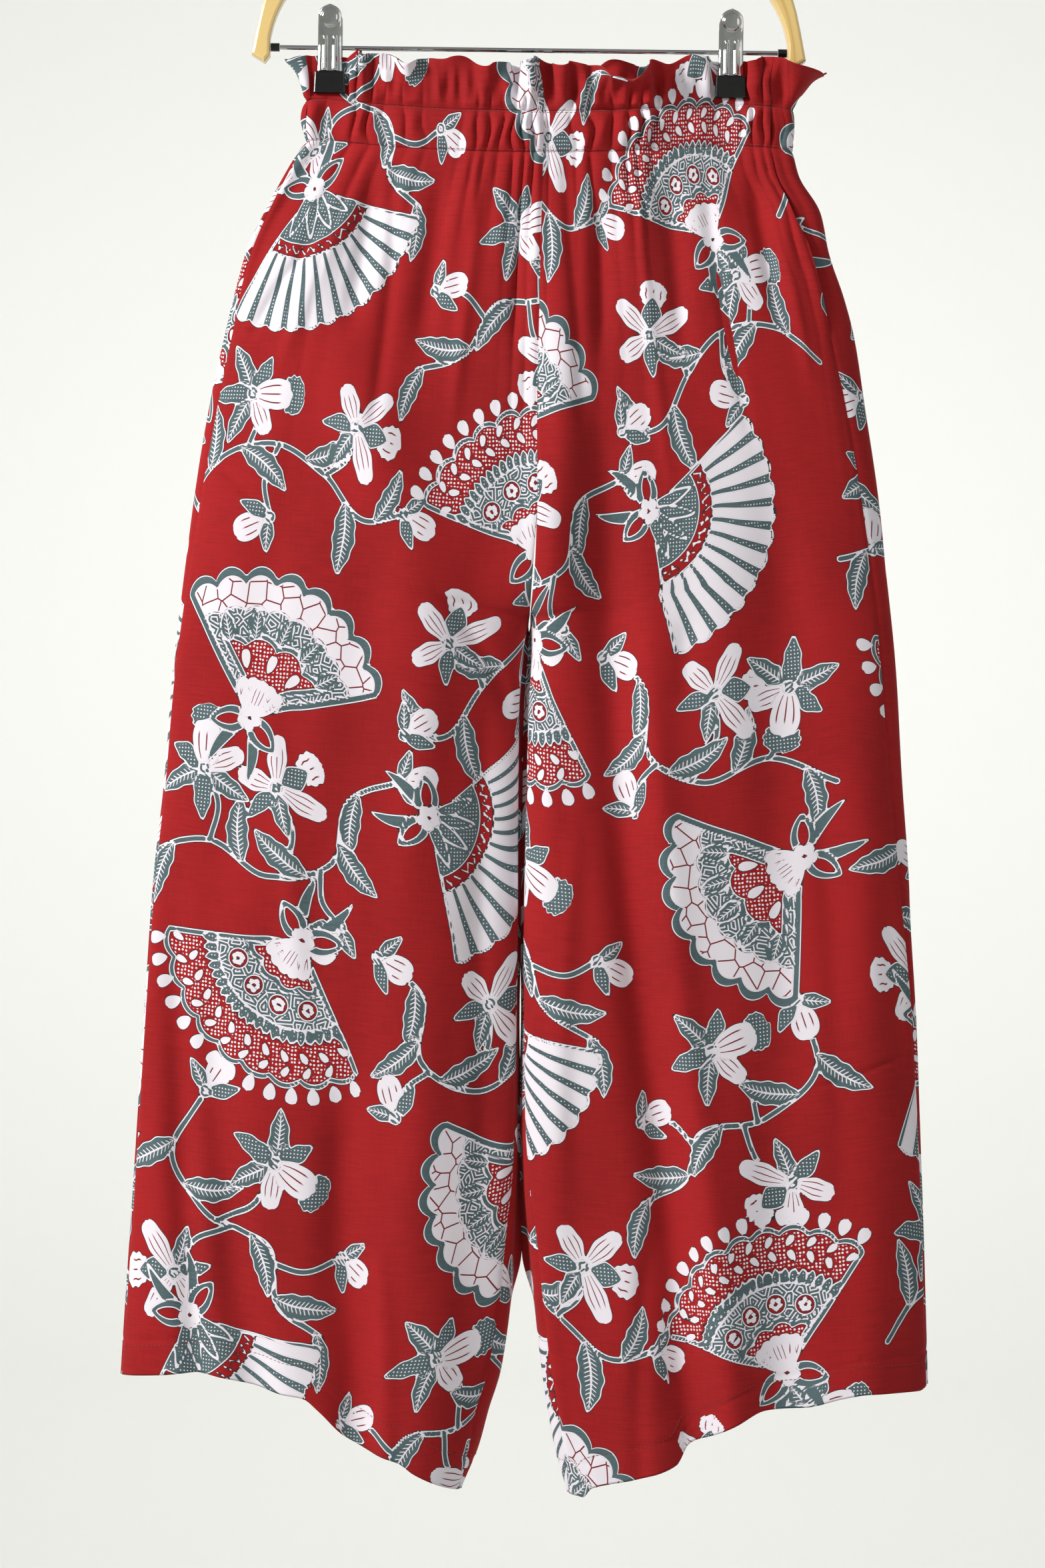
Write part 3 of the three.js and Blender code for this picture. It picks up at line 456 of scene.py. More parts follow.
def drawSpray(fields, place, spray, x, y, turn, flip):
    a = math.radians(turn)
    swing = np.array([[math.cos(a), math.sin(a)], [-math.sin(a), math.cos(a)]])

    def placed(points):
        return (np.array(points, float) * (flip, 1)) @ swing + (x, y)

    points = stemPoints(placed(spray["line"]))
    drawStem(fields, place, points)
    run = np.concatenate([[0], np.cumsum(np.linalg.norm(np.diff(points, axis=0), axis=1))])
    headings = []
    for at, side, size in spray["leaves"]:
        i = min(int(np.searchsorted(run, at * run[-1])), len(points) - 2)
        step = points[i + 1] - points[i]
        heading = math.degrees(math.atan2(step[1], step[0]))
        headings.append((points[i], heading + side * flip * printLook["leafAngle"], size, side * flip))
    for kind, dx, dy, ownTurn, size, at in spray["flowers"]:
        centre = placed([(dx, dy)])[0]
        i = min(int(np.searchsorted(run, at * run[-1])), len(points) - 1)
        if np.linalg.norm(centre - points[i]) > 6:
            step = centre - points[i]
            middle = points[i] + 0.5 * step + 0.16 * np.array([-step[1], step[0]])
            drawStem(fields, place, stemPoints([points[i], middle, centre]))
    for start, heading, size, side in headings:
        drawBlade(fields, place, *start, heading, size, size * printLook["leafWide"], "grey", "feather",
                  bend=-0.3 * side, lobes=4)
    for kind, dx, dy, ownTurn, size, at in spray["flowers"]:
        centre = placed([(dx, dy)])[0]
        drawBlossom(fields, place, kind, *centre, ownTurn * flip + (180 if flip < 0 else 0) + turn, size)


def drawFan(fields, place, fan, dx, dy):
    x, y, radius = fan["x"] + dx, fan["y"] + dy, fan["radius"]
    chosen = nearby(place, x, y, radius + 3 * printLook["reach"])
    if not len(chosen):
        return
    rx, ry = place["points"][chosen, 0] - x, place["points"][chosen, 1] - y
    r = np.hypot(rx, ry)
    a, half = math.radians(fan["turn"]), math.radians(fan["open"] / 2)
    angle = np.arctan2(ry * math.cos(a) - rx * math.sin(a), rx * math.cos(a) + ry * math.sin(a))
    spread = (angle + half) / (2 * half)
    edge = (np.abs(angle) - half) * np.minimum(r, radius)

    def band(inner, outer, tone, fill=None, inset=0.0):
        paint(fields, chosen, np.maximum(np.maximum(r - outer, inner - r), edge + inset), tone, fill)

    def spot(share, out):
        return x + out * radius * math.cos(a + share * half), y + out * radius * math.sin(a + share * half)

    def fringe(shares, out, long, wide, tone, fill=None, lean=0.0, **settings):  # blades pointing outwards
        for share in shares:
            turn = fan["turn"] + math.degrees(share * half) + lean
            drawBlade(fields, place, *spot(share, out), turn, long, wide, tone, fill, **settings)

    def scallop(lobes):
        return np.abs(np.sin(spread * lobes * math.pi)) ** 0.7

    if fan["kind"] == "pleated":
        ribs = 12
        pleat = spread * ribs
        rib = pleat - np.floor(pleat) - 0.5
        outer = radius - 14 * rib * rib
        band(0.2 * radius, outer, "grey", "speck")
        aside = (np.abs(rib) - 0.27) * r * 2 * half / ribs
        within = np.maximum(0.5 * radius - r, r - outer + 2)
        paint(fields, chosen, np.maximum(np.maximum(aside, within), edge + 1), "pale")
        band(0.4 * radius, 0.49 * radius, None, None, 2.5)
        zigzag = 0.445 * radius + 5.5 * (np.abs(rib) * 2 - 0.5)
        paint(fields, chosen, np.maximum(np.abs(r - zigzag) - 1.0, edge + 3), "pale")
        fringe((-0.75, -0.25, 0.25, 0.75), 0, 0.36 * radius, 8, "grey", "speck")
    elif fan["kind"] == "shell":
        band(0.08 * radius, radius - 8 + 8 * scallop(8), "grey")
        band(0.7 * radius + 4 * scallop(8), radius - 14 + 7 * scallop(8), "pale", "crackle", 5)
        band(0.12 * radius, 0.7 * radius + 3 * scallop(8), "grey", "maze", 5)
        band(0.12 * radius, 0.5 * radius + 6 * scallop(4), "grey", None, 10)
        band(0.12 * radius, 0.5 * radius - 4 + 6 * scallop(4), None, "dots", 14)
        fringe((-0.72, -0.36, 0, 0.36, 0.72), 0.52, 0.2 * radius, 11, "grey", "feather", lobes=3)
        fringe((-0.5, 0, 0.5), 0.32, 0.13 * radius, 6, "pale", blunt=True)
    else:
        band(0.08 * radius, radius - 5 + 5 * scallop(9), "grey")
        band(0.12 * radius, radius - 9 + 5 * scallop(9), None, "dots", 4)
        seeds = np.linspace(-0.9, 0.9, 22)  # two rows, leaning to and fro
        fringe(seeds[::2], 0.75, 9, 4.4, "pale", lean=-35, blunt=True)
        fringe(seeds[1::2], 0.85, 9, 4.4, "pale", lean=35, blunt=True)
        fringe(np.linspace(-0.94, 0.94, 21), 0.58, 0.13 * radius, 6.6, "grey", "speck")
        band(0.12 * radius, 0.6 * radius, "grey", "maze", 4)
        for share in (-0.66, -0.22, 0.22, 0.66):
            drawDisc(fields, place, *spot(share, 0.47), 6.5, None)
            drawDaisy(fields, place, *spot(share, 0.47), 5, "pale", 90 * share)
        band(0.1 * radius, 0.33 * radius + 5 * scallop(4), "grey", None, 4)
        band(0.1 * radius, 0.33 * radius - 4 + 5 * scallop(4), None, "dots", 7)
        fringe(np.linspace(-0.93, 0.93, 14), 0.985, 12, 8, "pale", blunt=True)
    if fan["kind"] != "pleated":  # a palmette at the pivot
        fringe((-0.62, 0.62, -0.3, 0.3, 0), 0, 0.27 * radius, 10, "pale", "petal", blunt=True)
    for side in (-1, 1):  # a ribbon bow and its tails
        loop = fan["turn"] + 180 + side * 62
        drawBlade(fields, place, x, y, fan["turn"] + 180 + side * 20, 46, 8, "grey", bend=0.35 * side)
        drawBlade(fields, place, x, y, loop, 30, 17, "grey")
        near = math.radians(loop)
        drawBlade(fields, place, x + 7 * math.cos(near), y + 7 * math.sin(near), loop, 18, 7, None)
    drawDaisy(fields, place, x, y, 9, "pale", 18)


def drawPrint(flat):  # flat: positions in the cut cloth in millimetres, one row a point
    fields = newFields(len(flat))
    margin = printLook["margin"]
    place = {"points": flat, "low": flat.min(0), "high": flat.max(0)}
    repeat = np.array([printLook["width"], printLook["height"]])
    first = ((place["low"] - margin) // repeat).astype(int)
    last = ((place["high"] + margin) // repeat).astype(int)
    tiles = [np.array([column, row]) * repeat for column in range(first[0], last[0] + 1)
             for row in range(first[1], last[1] + 1)]
    for dx, dy in tiles:
        for kind, x, y, turn, flip in sprayPlaces:
            drawSpray(fields, place, sprays[kind], x + dx, y + dy, turn, flip)
    for dx, dy in tiles:
        for fan in fans:
            drawFan(fields, place, fan, dx, dy)
    return fields


# Meshes
# Each grid: points[row, column] in mm, hand, thickness or none, and for cloth flat[row, column] in mm
def meshFromGrids(name, grids, material):
    places, flats, faces, start = [], [], [], 0
    for grid in grids:
        points = grid["points"]
        flat = grid.get("flat", points[..., :2])
        rows, columns = points.shape[:2]
        index = np.arange(rows * columns).reshape(rows, columns) + start
        a, b, c, d = index[:-1, :-1], index[:-1, 1:], index[1:, 1:], index[1:, :-1]
        quads = np.stack([a, d, c, b] if grid["hand"] > 0 else [a, b, c, d], -1).reshape(-1, 4)
        faces.append(quads)
        places.append(points.reshape(-1, 3))
        flats.append(flat.reshape(-1, 2))
        start += rows * columns
        if grid.get("thickness"):
            inner = points - gridNormals(points, grid["hand"]) * grid["thickness"]
            under = index + rows * columns
            faces.append(quads[:, ::-1] + rows * columns)
            rim = np.concatenate([index[0, :-1], index[:-1, -1], index[-1, :0:-1], index[:0:-1, 0]])
            rimNext = np.roll(rim, -1)
            side = [rim, rimNext, rimNext + rows * columns, rim + rows * columns]
            faces.append(np.stack(side if grid["hand"] > 0 else side[::-1], -1))
            places.append(inner.reshape(-1, 3))
            flats.append(flat.reshape(-1, 2))
            start = int(under.max()) + 1
    places, flats, faces = np.concatenate(places), np.concatenate(flats), np.concatenate(faces)
    mesh = bpy.data.meshes.new(name)
    mesh.vertices.add(len(places))
    mesh.vertices.foreach_set("co", (places * mm).ravel())
    mesh.loops.add(faces.size)
    mesh.loops.foreach_set("vertex_index", faces.ravel().astype(np.int32))
    mesh.polygons.add(len(faces))
    mesh.polygons.foreach_set("loop_start", np.arange(0, faces.size, 4, dtype=np.int32))
    mesh.update(calc_edges=True)
    mesh.polygons.foreach_set("use_smooth", np.ones(len(faces), bool))
    if "flat" in grids[0]:
        uv = mesh.uv_layers.new(name="flatCut")
        uv.data.foreach_set("uv", (flats[faces.ravel()] * mm).ravel())
        fields = drawPrint(flats)
        for attribute in fieldNames + fillNames:
            layer = mesh.attributes.new(attribute, "FLOAT", "POINT")
            layer.data.foreach_set("value", np.clip(fields[attribute], -60, 60).astype(np.float32))
    mesh.materials.append(material)
    mesh.validate()
    return addObject(name, mesh)


def addNode(tree, kind, inputs=None, **settings):  # a value may be a number, a socket or a whole node
    node = tree.nodes.new(kind)
    for key, value in settings.items():
        setattr(node, key, value)
    for socket, value in (inputs or {}).items():
        if isinstance(value, bpy.types.Node):
            value = [s for s in value.outputs if s.enabled][0]
        if isinstance(value, bpy.types.NodeSocket):
            tree.links.new(value, node.inputs[socket])
        else:
            node.inputs[socket].default_value = value
    return node


def seat(piece, node=None):  # part of the one body, in place of the named solid
    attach(piece, "root")
    if node:
        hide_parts(node)


def toLinear(hexColour):
    parts = [int(hexColour[i:i + 2], 16) / 255 for i in (1, 3, 5)]
    return [c / 12.92 if c <= 0.04045 else ((c + 0.055) / 1.055) ** 2.4 for c in parts] + [1]


def newMaterial(name, sockets):
    material = bpy.data.materials.new(name)
    material.use_nodes = True
    tree = material.node_tree
    shader = tree.nodes["Principled BSDF"]
    for socket, value in sockets.items():
        shader.inputs[socket].default_value = value
    return tree, shader, material


def addObject(name, data):
    made = bpy.data.objects.new(name, data)
    bpy.context.collection.objects.link(made)
    return made


cottonLook = {  # inks, then sizes in millimetres; the weave is coarser than the real 0.3 mm so that it shows
    "ground": "#a51c1f", "groundDeep": "#91171a", "slate": "#586c70", "slateDeep": "#4b5d61",
    "white": "#ece6ee", "darkEdge": "#3a2a2e", "veinRed": "#7c1f28",
    "outline": 0.78, "hatch": 3.1, "dotPitch": 2.7, "speckPitch": 2.5, "mazeCell": 9, "mazePitch": 2.4,
    "crackleCell": 13, "weave": 0.909, "petalLines": 0.56,
}


def makeCotton():  # plain-woven printed cotton, washed once: matt, faint slubs, no shine
    tree, shader, material = newMaterial("printedCotton", {
        "Roughness": 0.84, "Sheen Weight": 0.05, "Sheen Roughness": 0.5, "Specular IOR Level": 0.18})
    look, turn, add = cottonLook, 2 * math.pi, partial(addNode, tree)
    ink = {name: toLinear(colour) for name, colour in look.items() if isinstance(colour, str)}
    value = {name: add("ShaderNodeAttribute", attribute_name=name).outputs["Fac"]
             for name in fieldNames + fillNames}

    # Textures on the flat cut: repeats a metre across and along, the node's own values and its settings
    sizes = ("dotPitch", "speckPitch", "mazeCell", "crackleCell", "weave")
    dot, speck, coil, crack, weave = [1000 / look[size] for size in sizes]
    cutPlace = add("ShaderNodeUVMap", uv_map="flatCut")
    flatCells = {"voronoi_dimensions": "2D", "feature": "F1"}
    walls = {"voronoi_dimensions": "2D", "feature": "DISTANCE_TO_EDGE"}
    for name, kind, across, along, inputs, settings in (
            ("slub", "Noise", 45, 1000, {"Detail": 3.0}, {}),
            ("warp", "Noise", 1000, 60, {"Detail": 2.0}, {}),
            ("fade", "Noise", 9, 7, {"Detail": 2.0}, {}),
            ("dotCells", "Voronoi", dot, dot, {"Randomness": 0.3}, flatCells),
            ("speckCells", "Voronoi", speck, speck, {"Randomness": 0.08}, flatCells),
            ("coilWalls", "Voronoi", coil, coil, {"Randomness": 0.9}, walls),
            ("crackWalls", "Voronoi", crack, crack, {"Randomness": 1.0}, walls),
            ("weft", "Wave", weave, weave, {"Distortion": 1.5}, {"bands_direction": "Y"}),
            ("warpWave", "Wave", weave, weave, {"Distortion": 1.5}, {"bands_direction": "X"})):
        place = add("ShaderNodeMapping", {"Vector": cutPlace, "Scale": (across, along, 1)})
        texture = add("ShaderNodeTex" + kind, {"Vector": place, "Scale": 1.0, **inputs}, **settings)
        value[name] = texture.outputs.get("Fac") or texture.outputs["Distance"]

    # Worked out from them: a new name, the operation, and what goes in
    for name, operation, *parts in (
            ("halfWarp", "MULTIPLY", "warp", 0.5), ("threads", "ADD", "slub", "halfWarp"),
            ("wear", "ADD", "threads", "fade"), ("edge", "MINIMUM", "grey", "pale"),
            ("rib", "ABSOLUTE", "across"), ("slope", "MULTIPLY", "rib", 5.0),
            ("slant", "SUBTRACT", "along", "slope"), ("hatchTurn", "MULTIPLY", "slant", turn / look["hatch"]),
            ("hatch", "SINE", "hatchTurn"),
            ("coilTurn", "MULTIPLY", "coilWalls", turn * look["mazeCell"] / look["mazePitch"]),
            ("coil", "COSINE", "coilTurn"), ("lineTurn", "MULTIPLY", "across", turn / look["petalLines"]),
            ("lines", "COSINE", "lineTurn"), ("weave", "ADD", "weft", "warpWave"),
            ("height", "ADD", "weave", "threads")):
        value[name] = add("ShaderNodeMath", {i: value.get(part, part) for i, part in enumerate(parts)},
                          operation=operation)

    def inkThrough(under, over, *masks):  # a mask rises from 0 at its second number to 1 at its third
        share = None
        for source, none, full in masks:
            mask = add("ShaderNodeMapRange", {"Value": value[source], "From Min": none, "From Max": full},
                       interpolation_type="SMOOTHSTEP")
            share = add("ShaderNodeMath", {0: share, 1: mask}, operation="MULTIPLY") if share else mask
        return add("ShaderNodeMix", {0: share, 6: under, 7: over}, data_type="RGBA")

    # The two grounds are a little deeper where the slubs are; then one ink is printed over another
    worn = ("wear", 1.0, 1.6)
    ink["slate"] = inkThrough(ink["slate"], ink["slateDeep"], worn)
    colour = inkThrough(ink["ground"], ink["groundDeep"], worn)
    inGrey = ("grey", 0.1 - look["outline"], -0.1 - look["outline"])
    offPale = ("pale", -0.1, 0.1)
    for over, *masks in (
            ("darkEdge", ("edge", 0.8, 0.3)),
            ("white", ("dots", 0.5, 0.7), ("edge", 0.9, 1.3), ("dotCells", 0.32, 0.24)),
            ("white", ("edge", 0.1, -0.1)),
            ("slate", inGrey, offPale),  # inside its white outline
            ("white", ("hatch", 0.5, 0.85), ("rib", 0.56, 0.42), ("feather", 0.5, 0.7), inGrey, offPale),
            ("white", ("rib", 0.1, 0.06), ("feather", 0.5, 0.7), inGrey, offPale),  # a leaf's midrib
            ("white", ("speckCells", 0.24, 0.17), ("speck", 0.5, 0.7), ("grey", -1.8, -2.1), offPale),
            ("white", ("coil", 0.2, 0.55), ("maze", 0.5, 0.7), inGrey, offPale),
            ("veinRed", ("lines", 0.8, 0.93), ("petal", 0.5, 0.7), ("pale", -1.2, -1.7),
             ("along", 0.08, 0.16), ("along", 0.78, 0.66)),
            ("veinRed", ("crackWalls", 0.05, 0.025), ("crackle", 0.5, 0.7), ("pale", -0.6, -1.0))):
        colour = inkThrough(colour, ink[over], *masks)
    tree.links.new(colour.outputs[2], shader.inputs["Base Color"])
    bump = add("ShaderNodeBump", {"Height": value["height"], "Strength": 0.2, "Distance": 0.0004})
    tree.links.new(bump.outputs[0], shader.inputs["Normal"])
    return material


cotton = makeCotton()
print("cotton made")


# Leg panels: fine shells on the solids' form, with gathers, soft creases and a turned-up hem
legLook = {
    "columns": 150, "frontRows": 540, "backColumns": 124, "backRows": 430, "gatherHeight": 3.0,
    "hemTurn": 24, "hemGap": 1.1, "hemRows": 9, "seamDip": 0.7, "seamWidth": 1.8, "edgeFade": 14,
    "creased": 1.4, "stitchUp": 1.2, "stitchProud": 0.1,
}
# Behind the slot between the legs the back panels lie together, from the crotch down to its end
slotLook = {
    "press": 3.5, "end": 0.87, "startFade": 0.02, "endFade": 0.05, "deep": 9, "deepHalf": 5, "near": 30,
}
cutWidth = {"down": [0, 0.12, 0.35, 0.7, 1], "width": [238, 262, 276, 284, 292]}
cutAt = smoothCurve(cutWidth, "down", "width")
printOrigin = {  # where each panel was cut from the cloth
    "front_leg_right": (150, 40), "front_leg_left": (-110, 250),
    "back_leg_right": (400, 130), "back_leg_left": (60, 420),
}
panelCuts = {}
stitchPaths = []
pocketMouth = {"top": 0.03, "long": 0.125, "gape": (1.8, 3.4), "reach": 8}

# Finer creases, given one by one as the folds are
frontCreases = namedRows(foldColumns,
    ((-133, -150, -172, -192), (-300, -330, -362, -402), 4.5, -2.6),
    ((-128, -141, -158, -176), (-306, -345, -388, -432), 6, 1.8),
    ((-92, -92, -98, -110), (-262, -330, -410, -500), 5, -2.4),
    ((-34, -36, -44, -52), (-262, -320, -400, -480), 5, 2.2),
    ((26, 30, 36, 40), (-262, -320, -390, -470), 4.5, -2.2),
    ((76, 80, 90, 104), (-262, -330, -420, -520), 5, 2.3),
    ((122, 128, 142, 160), (-262, -320, -400, -480), 5, -2.4),
    ((166, 174, 186, 200), (-262, -310, -370, -440), 5, 2.4),
    ((-240, -220, -196, -170), (-452, -470, -492, -520), 6, -1.4),
    ((-60, -36, -14, -2), (-560, -590, -628, -670), 7, -1.8),
    ((20, 44, 72, 98), (-640, -612, -590, -574), 8, -1.6),
    ((-24, -26, -24, -18), (-640, -760, -880, -1010), 8, -2.2),
    ((-176, -160, -150, -146), (-640, -720, -830, -950), 9, 1.7),
    ((40, 34, 30, 34), (-700, -800, -900, -1020), 8, 2.0),
    ((206, 214, 220, 224), (-700, -800, -900, -1010), 9, -1.8),
    ((262, 232, 204, 180), (-880, -893, -902, -906), 5, -1.2),
    ((-92, -88, -86, -86), (-1010, -1070, -1120, -1165), 7, 2.4),
    ((92, 88, 86, 88), (-1010, -1070, -1120, -1170), 7, -2.4))
backCreases = namedRows(foldColumns,
    ((-150, -160, -176, -192), (-300, -345, -400, -450), 6, 2.2),
    ((-84, -88, -96, -108), (-262, -330, -410, -490), 5, -2.3),
    ((-20, -22, -28, -34), (-262, -330, -400, -470), 5, 2.2),
    ((44, 46, 52, 58), (-262, -330, -400, -480), 5, -2.2),
    ((96, 102, 114, 128), (-262, -330, -410, -490), 5, 2.2),
    ((156, 168, 184, 200), (-270, -320, -380, -440), 6, -2.0),
    ((-70, -44, -22, -6), (-540, -580, -624, -664), 8, -2.0),
    ((86, 60, 38, 18), (-540, -580, -624, -664), 8, -2.0),
    ((-150, -142, -138, -136), (-680, -790, -900, -1040), 9, -1.9),
    ((120, 126, 130, 132), (-680, -790, -900, -1040), 9, 1.9),
    ((-228, -206, -180, -158), (-700, -722, -738, -748), 6, -1.2),
    ((250, 222, 196, 172), (-820, -840, -852, -858), 6, -1.2))
frontCreaseCurves, backCreaseCurves = foldCurves(frontCreases), foldCurves(backCreases)


def unevenness(u, v):  # soft irregular creasing, longer down the cloth than across it
    return (0.5 * np.sin(u / 19 + 1.4 * np.sin(v / 83)) * np.sin(v / 127 + u / 61)
            + 0.35 * np.sin(u / 11 + v / 47 + 2) * np.sin(v / 71 + 1)
            + 0.3 * np.sin(u / 7.3 - v / 90) * np.sin(v / 53 + u / 29))


def panelRelief(base, topX, run, fall, down, leg, isFront):  # millimetres outwards from the solids' form
    edgeRun = np.minimum(run, run[:, -1:] - run)
    inward = ease(edgeRun / legLook["edgeFade"])
    puff, atRow = gatherPuff(topX, 1, isFront), gatherLook["atRow"]
    reach = 74 + 34 * np.sin(topX * 0.11 + 1.3) + 20 * np.sin(topX * 0.053 + 0.4)
    grown = lerp(atRow, legLook["gatherHeight"], ease(fall / 14))
    relief = rowRelief(puff, fall) + (grown * np.exp(-(fall / reach) ** 1.3) - atRow) * puff
    relief -= legLook["seamDip"] * np.exp(-(edgeRun / legLook["seamWidth"]) ** 2)
    relief -= 0.5 * np.exp(-((fall[-1:] - fall - legLook["hemTurn"]) / 1.6) ** 2)
    relief += legLook["creased"] * unevenness(run, fall) * inward * ease(fall / 60)
    creases = frontCreaseCurves if isFront else backCreaseCurves
    relief += foldLift(creases, base[..., 0], base[..., 2]) * inward
    # The pocket mouth stands open: the front edge lifts off the back
    mouth = np.sin(math.pi * np.clip((down - pocketMouth["top"]) / pocketMouth["long"], 0, 1))
    fromSide = run if isFront else run[:, -1:] - run
    lift = pocketMouth["gape"][0 if leg["hand"] > 0 else 1] * (1 if isFront else -0.5)
    return relief + lift * mouth * np.exp(-(fromSide / pocketMouth["reach"]) ** 2)


def closeSlot(points, leg, down):  # behind the slot between the legs the back panels lie together
    slot = leftLeg["inner"](down) - rightLeg["inner"](down)
    press = slot / 2 + slotLook["press"]
    press *= ease((down - crotch["end"]) / slotLook["startFade"])
    press *= ease((slotLook["end"] - down) / slotLook["endFade"])
    fromInner = np.abs(points[..., 0] - leg["inner"](down))
    nearInside = ease((slotLook["near"] - fromInner) / (slotLook["near"] / 2))
    bulge = np.exp(-((points[..., 1] - slotLook["deep"]) / slotLook["deepHalf"]) ** 2) * nearInside
    points[..., 0] += leg["hand"] * press * bulge


def turnHem(points, flat, fall, hand):  # the hem turns under and runs back up inside, held by its stitches
    normals, rowNumbers = gridNormals(points, hand), np.arange(len(fall))
    levels, bottom = fall.mean(1), fall[-1].mean()
    stitchFall = bottom - legLook["hemTurn"] + legLook["stitchUp"]
    stitchRow = int(np.interp(stitchFall, levels, rowNumbers))
    stitchPaths.append((points + legLook["stitchProud"] * normals)[stitchRow, 2:-2])
    share = (np.arange(legLook["hemRows"]) + 0.35) / (legLook["hemRows"] - 0.65)
    back = np.interp(bottom - share * legLook["hemTurn"], levels, rowNumbers)
    low = np.clip(back.astype(int), 0, len(fall) - 2)
    inner = points - normals * legLook["hemGap"]
    hem = lerp(inner[low], inner[low + 1], (back - low)[:, None, None])
    hemFlat = flat[-1:] + np.stack([np.zeros_like(share), share * legLook["hemTurn"]], -1)[:, None, :]
    return np.concatenate([points, hem]), np.concatenate([flat, hemFlat])


def makeLegPanel(name, leg, isFront):
    columns = legLook["columns" if isFront else "backColumns"]
    rows = legLook["frontRows" if isFront else "backRows"]
    down = np.linspace(0, 1, rows + 1)[:, None]
    sideSeam = aroundAtStrip(leg, down, leg["sideStrip"](down))
    innerSeam = np.where(down < crotch["end"], 1, 1 - aroundAtStrip(leg, down, leg["innerStrip"](down)))
    first, last = (sideSeam, innerSeam) if isFront else (innerSeam - 2, sideSeam)
    around = lerp(first, last, np.linspace(0, 1, columns + 1)[None, :])
    base, topX = legBase(leg, wrapBack(around), down + 0 * around)
    run, fall = runLength(base, 1), runLength(base, 0)
    relief = panelRelief(base, topX, run, fall, down, leg, isFront)
    points = base + gridNormals(base, leg["hand"]) * relief[..., None]
    if not isFront:
        closeSlot(points, leg, down)
    # Flat cut: across from the middle of the panel, down from the casing
    width = run[:, -1:]
    cutRow = np.maximum(width, cutAt(down))
    flat = np.stack([(run / width - 0.5) * cutRow * leg["hand"] * (1 if isFront else -1), fall], -1)
    flat += printOrigin[name]
    # Where each column meets the waist loop, counted on past the left side seam for the back
    wayRound = waistAround(topX[0])
    onFront = (around[0] >= 0) | (around[0] < -1)
    wayRound = np.where(onFront, wayRound - (2 if leg["hand"] < 0 and not isFront else 0), -wayRound)
    panelCuts[name] = {"around": wayRound, "flat": flat[0]}
    points, flat = turnHem(points, flat, fall, leg["hand"])
    piece = meshFromGrids(name + "_cloth", [{"points": points, "flat": flat, "hand": leg["hand"]}], cotton)
    seat(piece, name)


# Casing and frill: one cloth with the panels, so the print runs on over them
def waistLoop(around):
    share = (1 - np.cos(math.pi * around)) / 2
    x = lerp(waist["leftX"], waist["rightX"], share)
    side = np.where((around >= 0) & (around <= 1), -1, 1)
    return np.stack([x, side * waistDepth(x), np.zeros_like(x)], -1)


def waistAround(x):
    return np.arccos(1 - 2 * (x - waist["leftX"]) / (waist["rightX"] - waist["leftX"])) / math.pi


sideSeamRight = float(waistAround(waist["leftX"] + rightLegSide["strip"][0]))
sideSeamLeft = float(waistAround(waist["rightX"] - leftLegSide["strip"][0]))
centreFront = float(waistAround(centreSeam["x"][0]))
waistRuns = {  # the panel below, and where around the waist loop its part of the band starts and ends
    "front": [("front_leg_right", sideSeamRight, centreFront), ("front_leg_left", centreFront, sideSeamLeft)],
    "back": [("back_leg_left", sideSeamLeft - 2, -centreFront),
             ("back_leg_right", -centreFront, sideSeamRight)],
}


def waistFlat(panel, around, above):
    cut = panelCuts[panel]
    order = np.argsort(cut["around"])
    places, flatU = cut["around"][order], cut["flat"][order, 0]
    return np.stack([np.interp(around, places, flatU), cut["flat"][0, 1] - above + 0 * around], -1)


def gripShare(x):
    away = np.min([np.abs(x - centre) for centre in waist["clipCentres"]], axis=0)
    return 1 - ease((away - waist["gripHalfWidth"]) / waistLook["gripFade"])


waistLook = {
    "columns": 460, "casingRows": 22, "frillRows": 30, "puff": 2.7, "frillPuff": 2.5,
    "wave": 3.0, "ruffle": 1.1, "edgeRise": 2.1, "backRise": 3.5, "gripFade": 5.5,
}


def halfSpan(start, end):
    columns = int(waistLook["columns"] * abs(end - start)) + 30
    return np.linspace(start, end, columns + 1)


def makeCasing(name, side):
    grids = []
    for panel, start, end in waistRuns[side]:
        around = halfSpan(start, end)
        w = np.linspace(0, 1, waistLook["casingRows"] + 1)[:, None]
        loop = waistLoop(wrapBack(around))
        x = loop[None, :, 0] + 0 * w
        points = np.stack([x, loop[None, :, 1] + 0 * w, waistZ(x) - w * waist["casingHeight"]], -1)
        puff = gatherPuff(x, w, side == "front")
        fromRow = np.minimum(w, 1 - w) * waist["casingHeight"]
        swell = np.sin(math.pi * w) * (1 + 0.35 * np.sin(x / 13 + 2))
        relief = rowRelief(puff, fromRow) + waistLook["puff"] * puff * swell
        edge = runLength(points, 1)
        edge = np.minimum(edge, edge[:, -1:] - edge)
        relief -= 0.7 * np.exp(-(edge / 1.8) ** 2)
        points = points + gridNormals(points, 1) * relief[..., None]
        lifted = points + 0.1 * gridNormals(points, 1)
        stitchPaths.extend([lifted[1], lifted[-2]])
        flat = waistFlat(panel, around[None, :] + 0 * w, (1 - w) * waist["casingHeight"])
        grids.append({"points": points, "flat": flat, "hand": 1, "thickness": waist["casingWall"]})
    return meshFromGrids(name + "_cloth", grids, cotton)


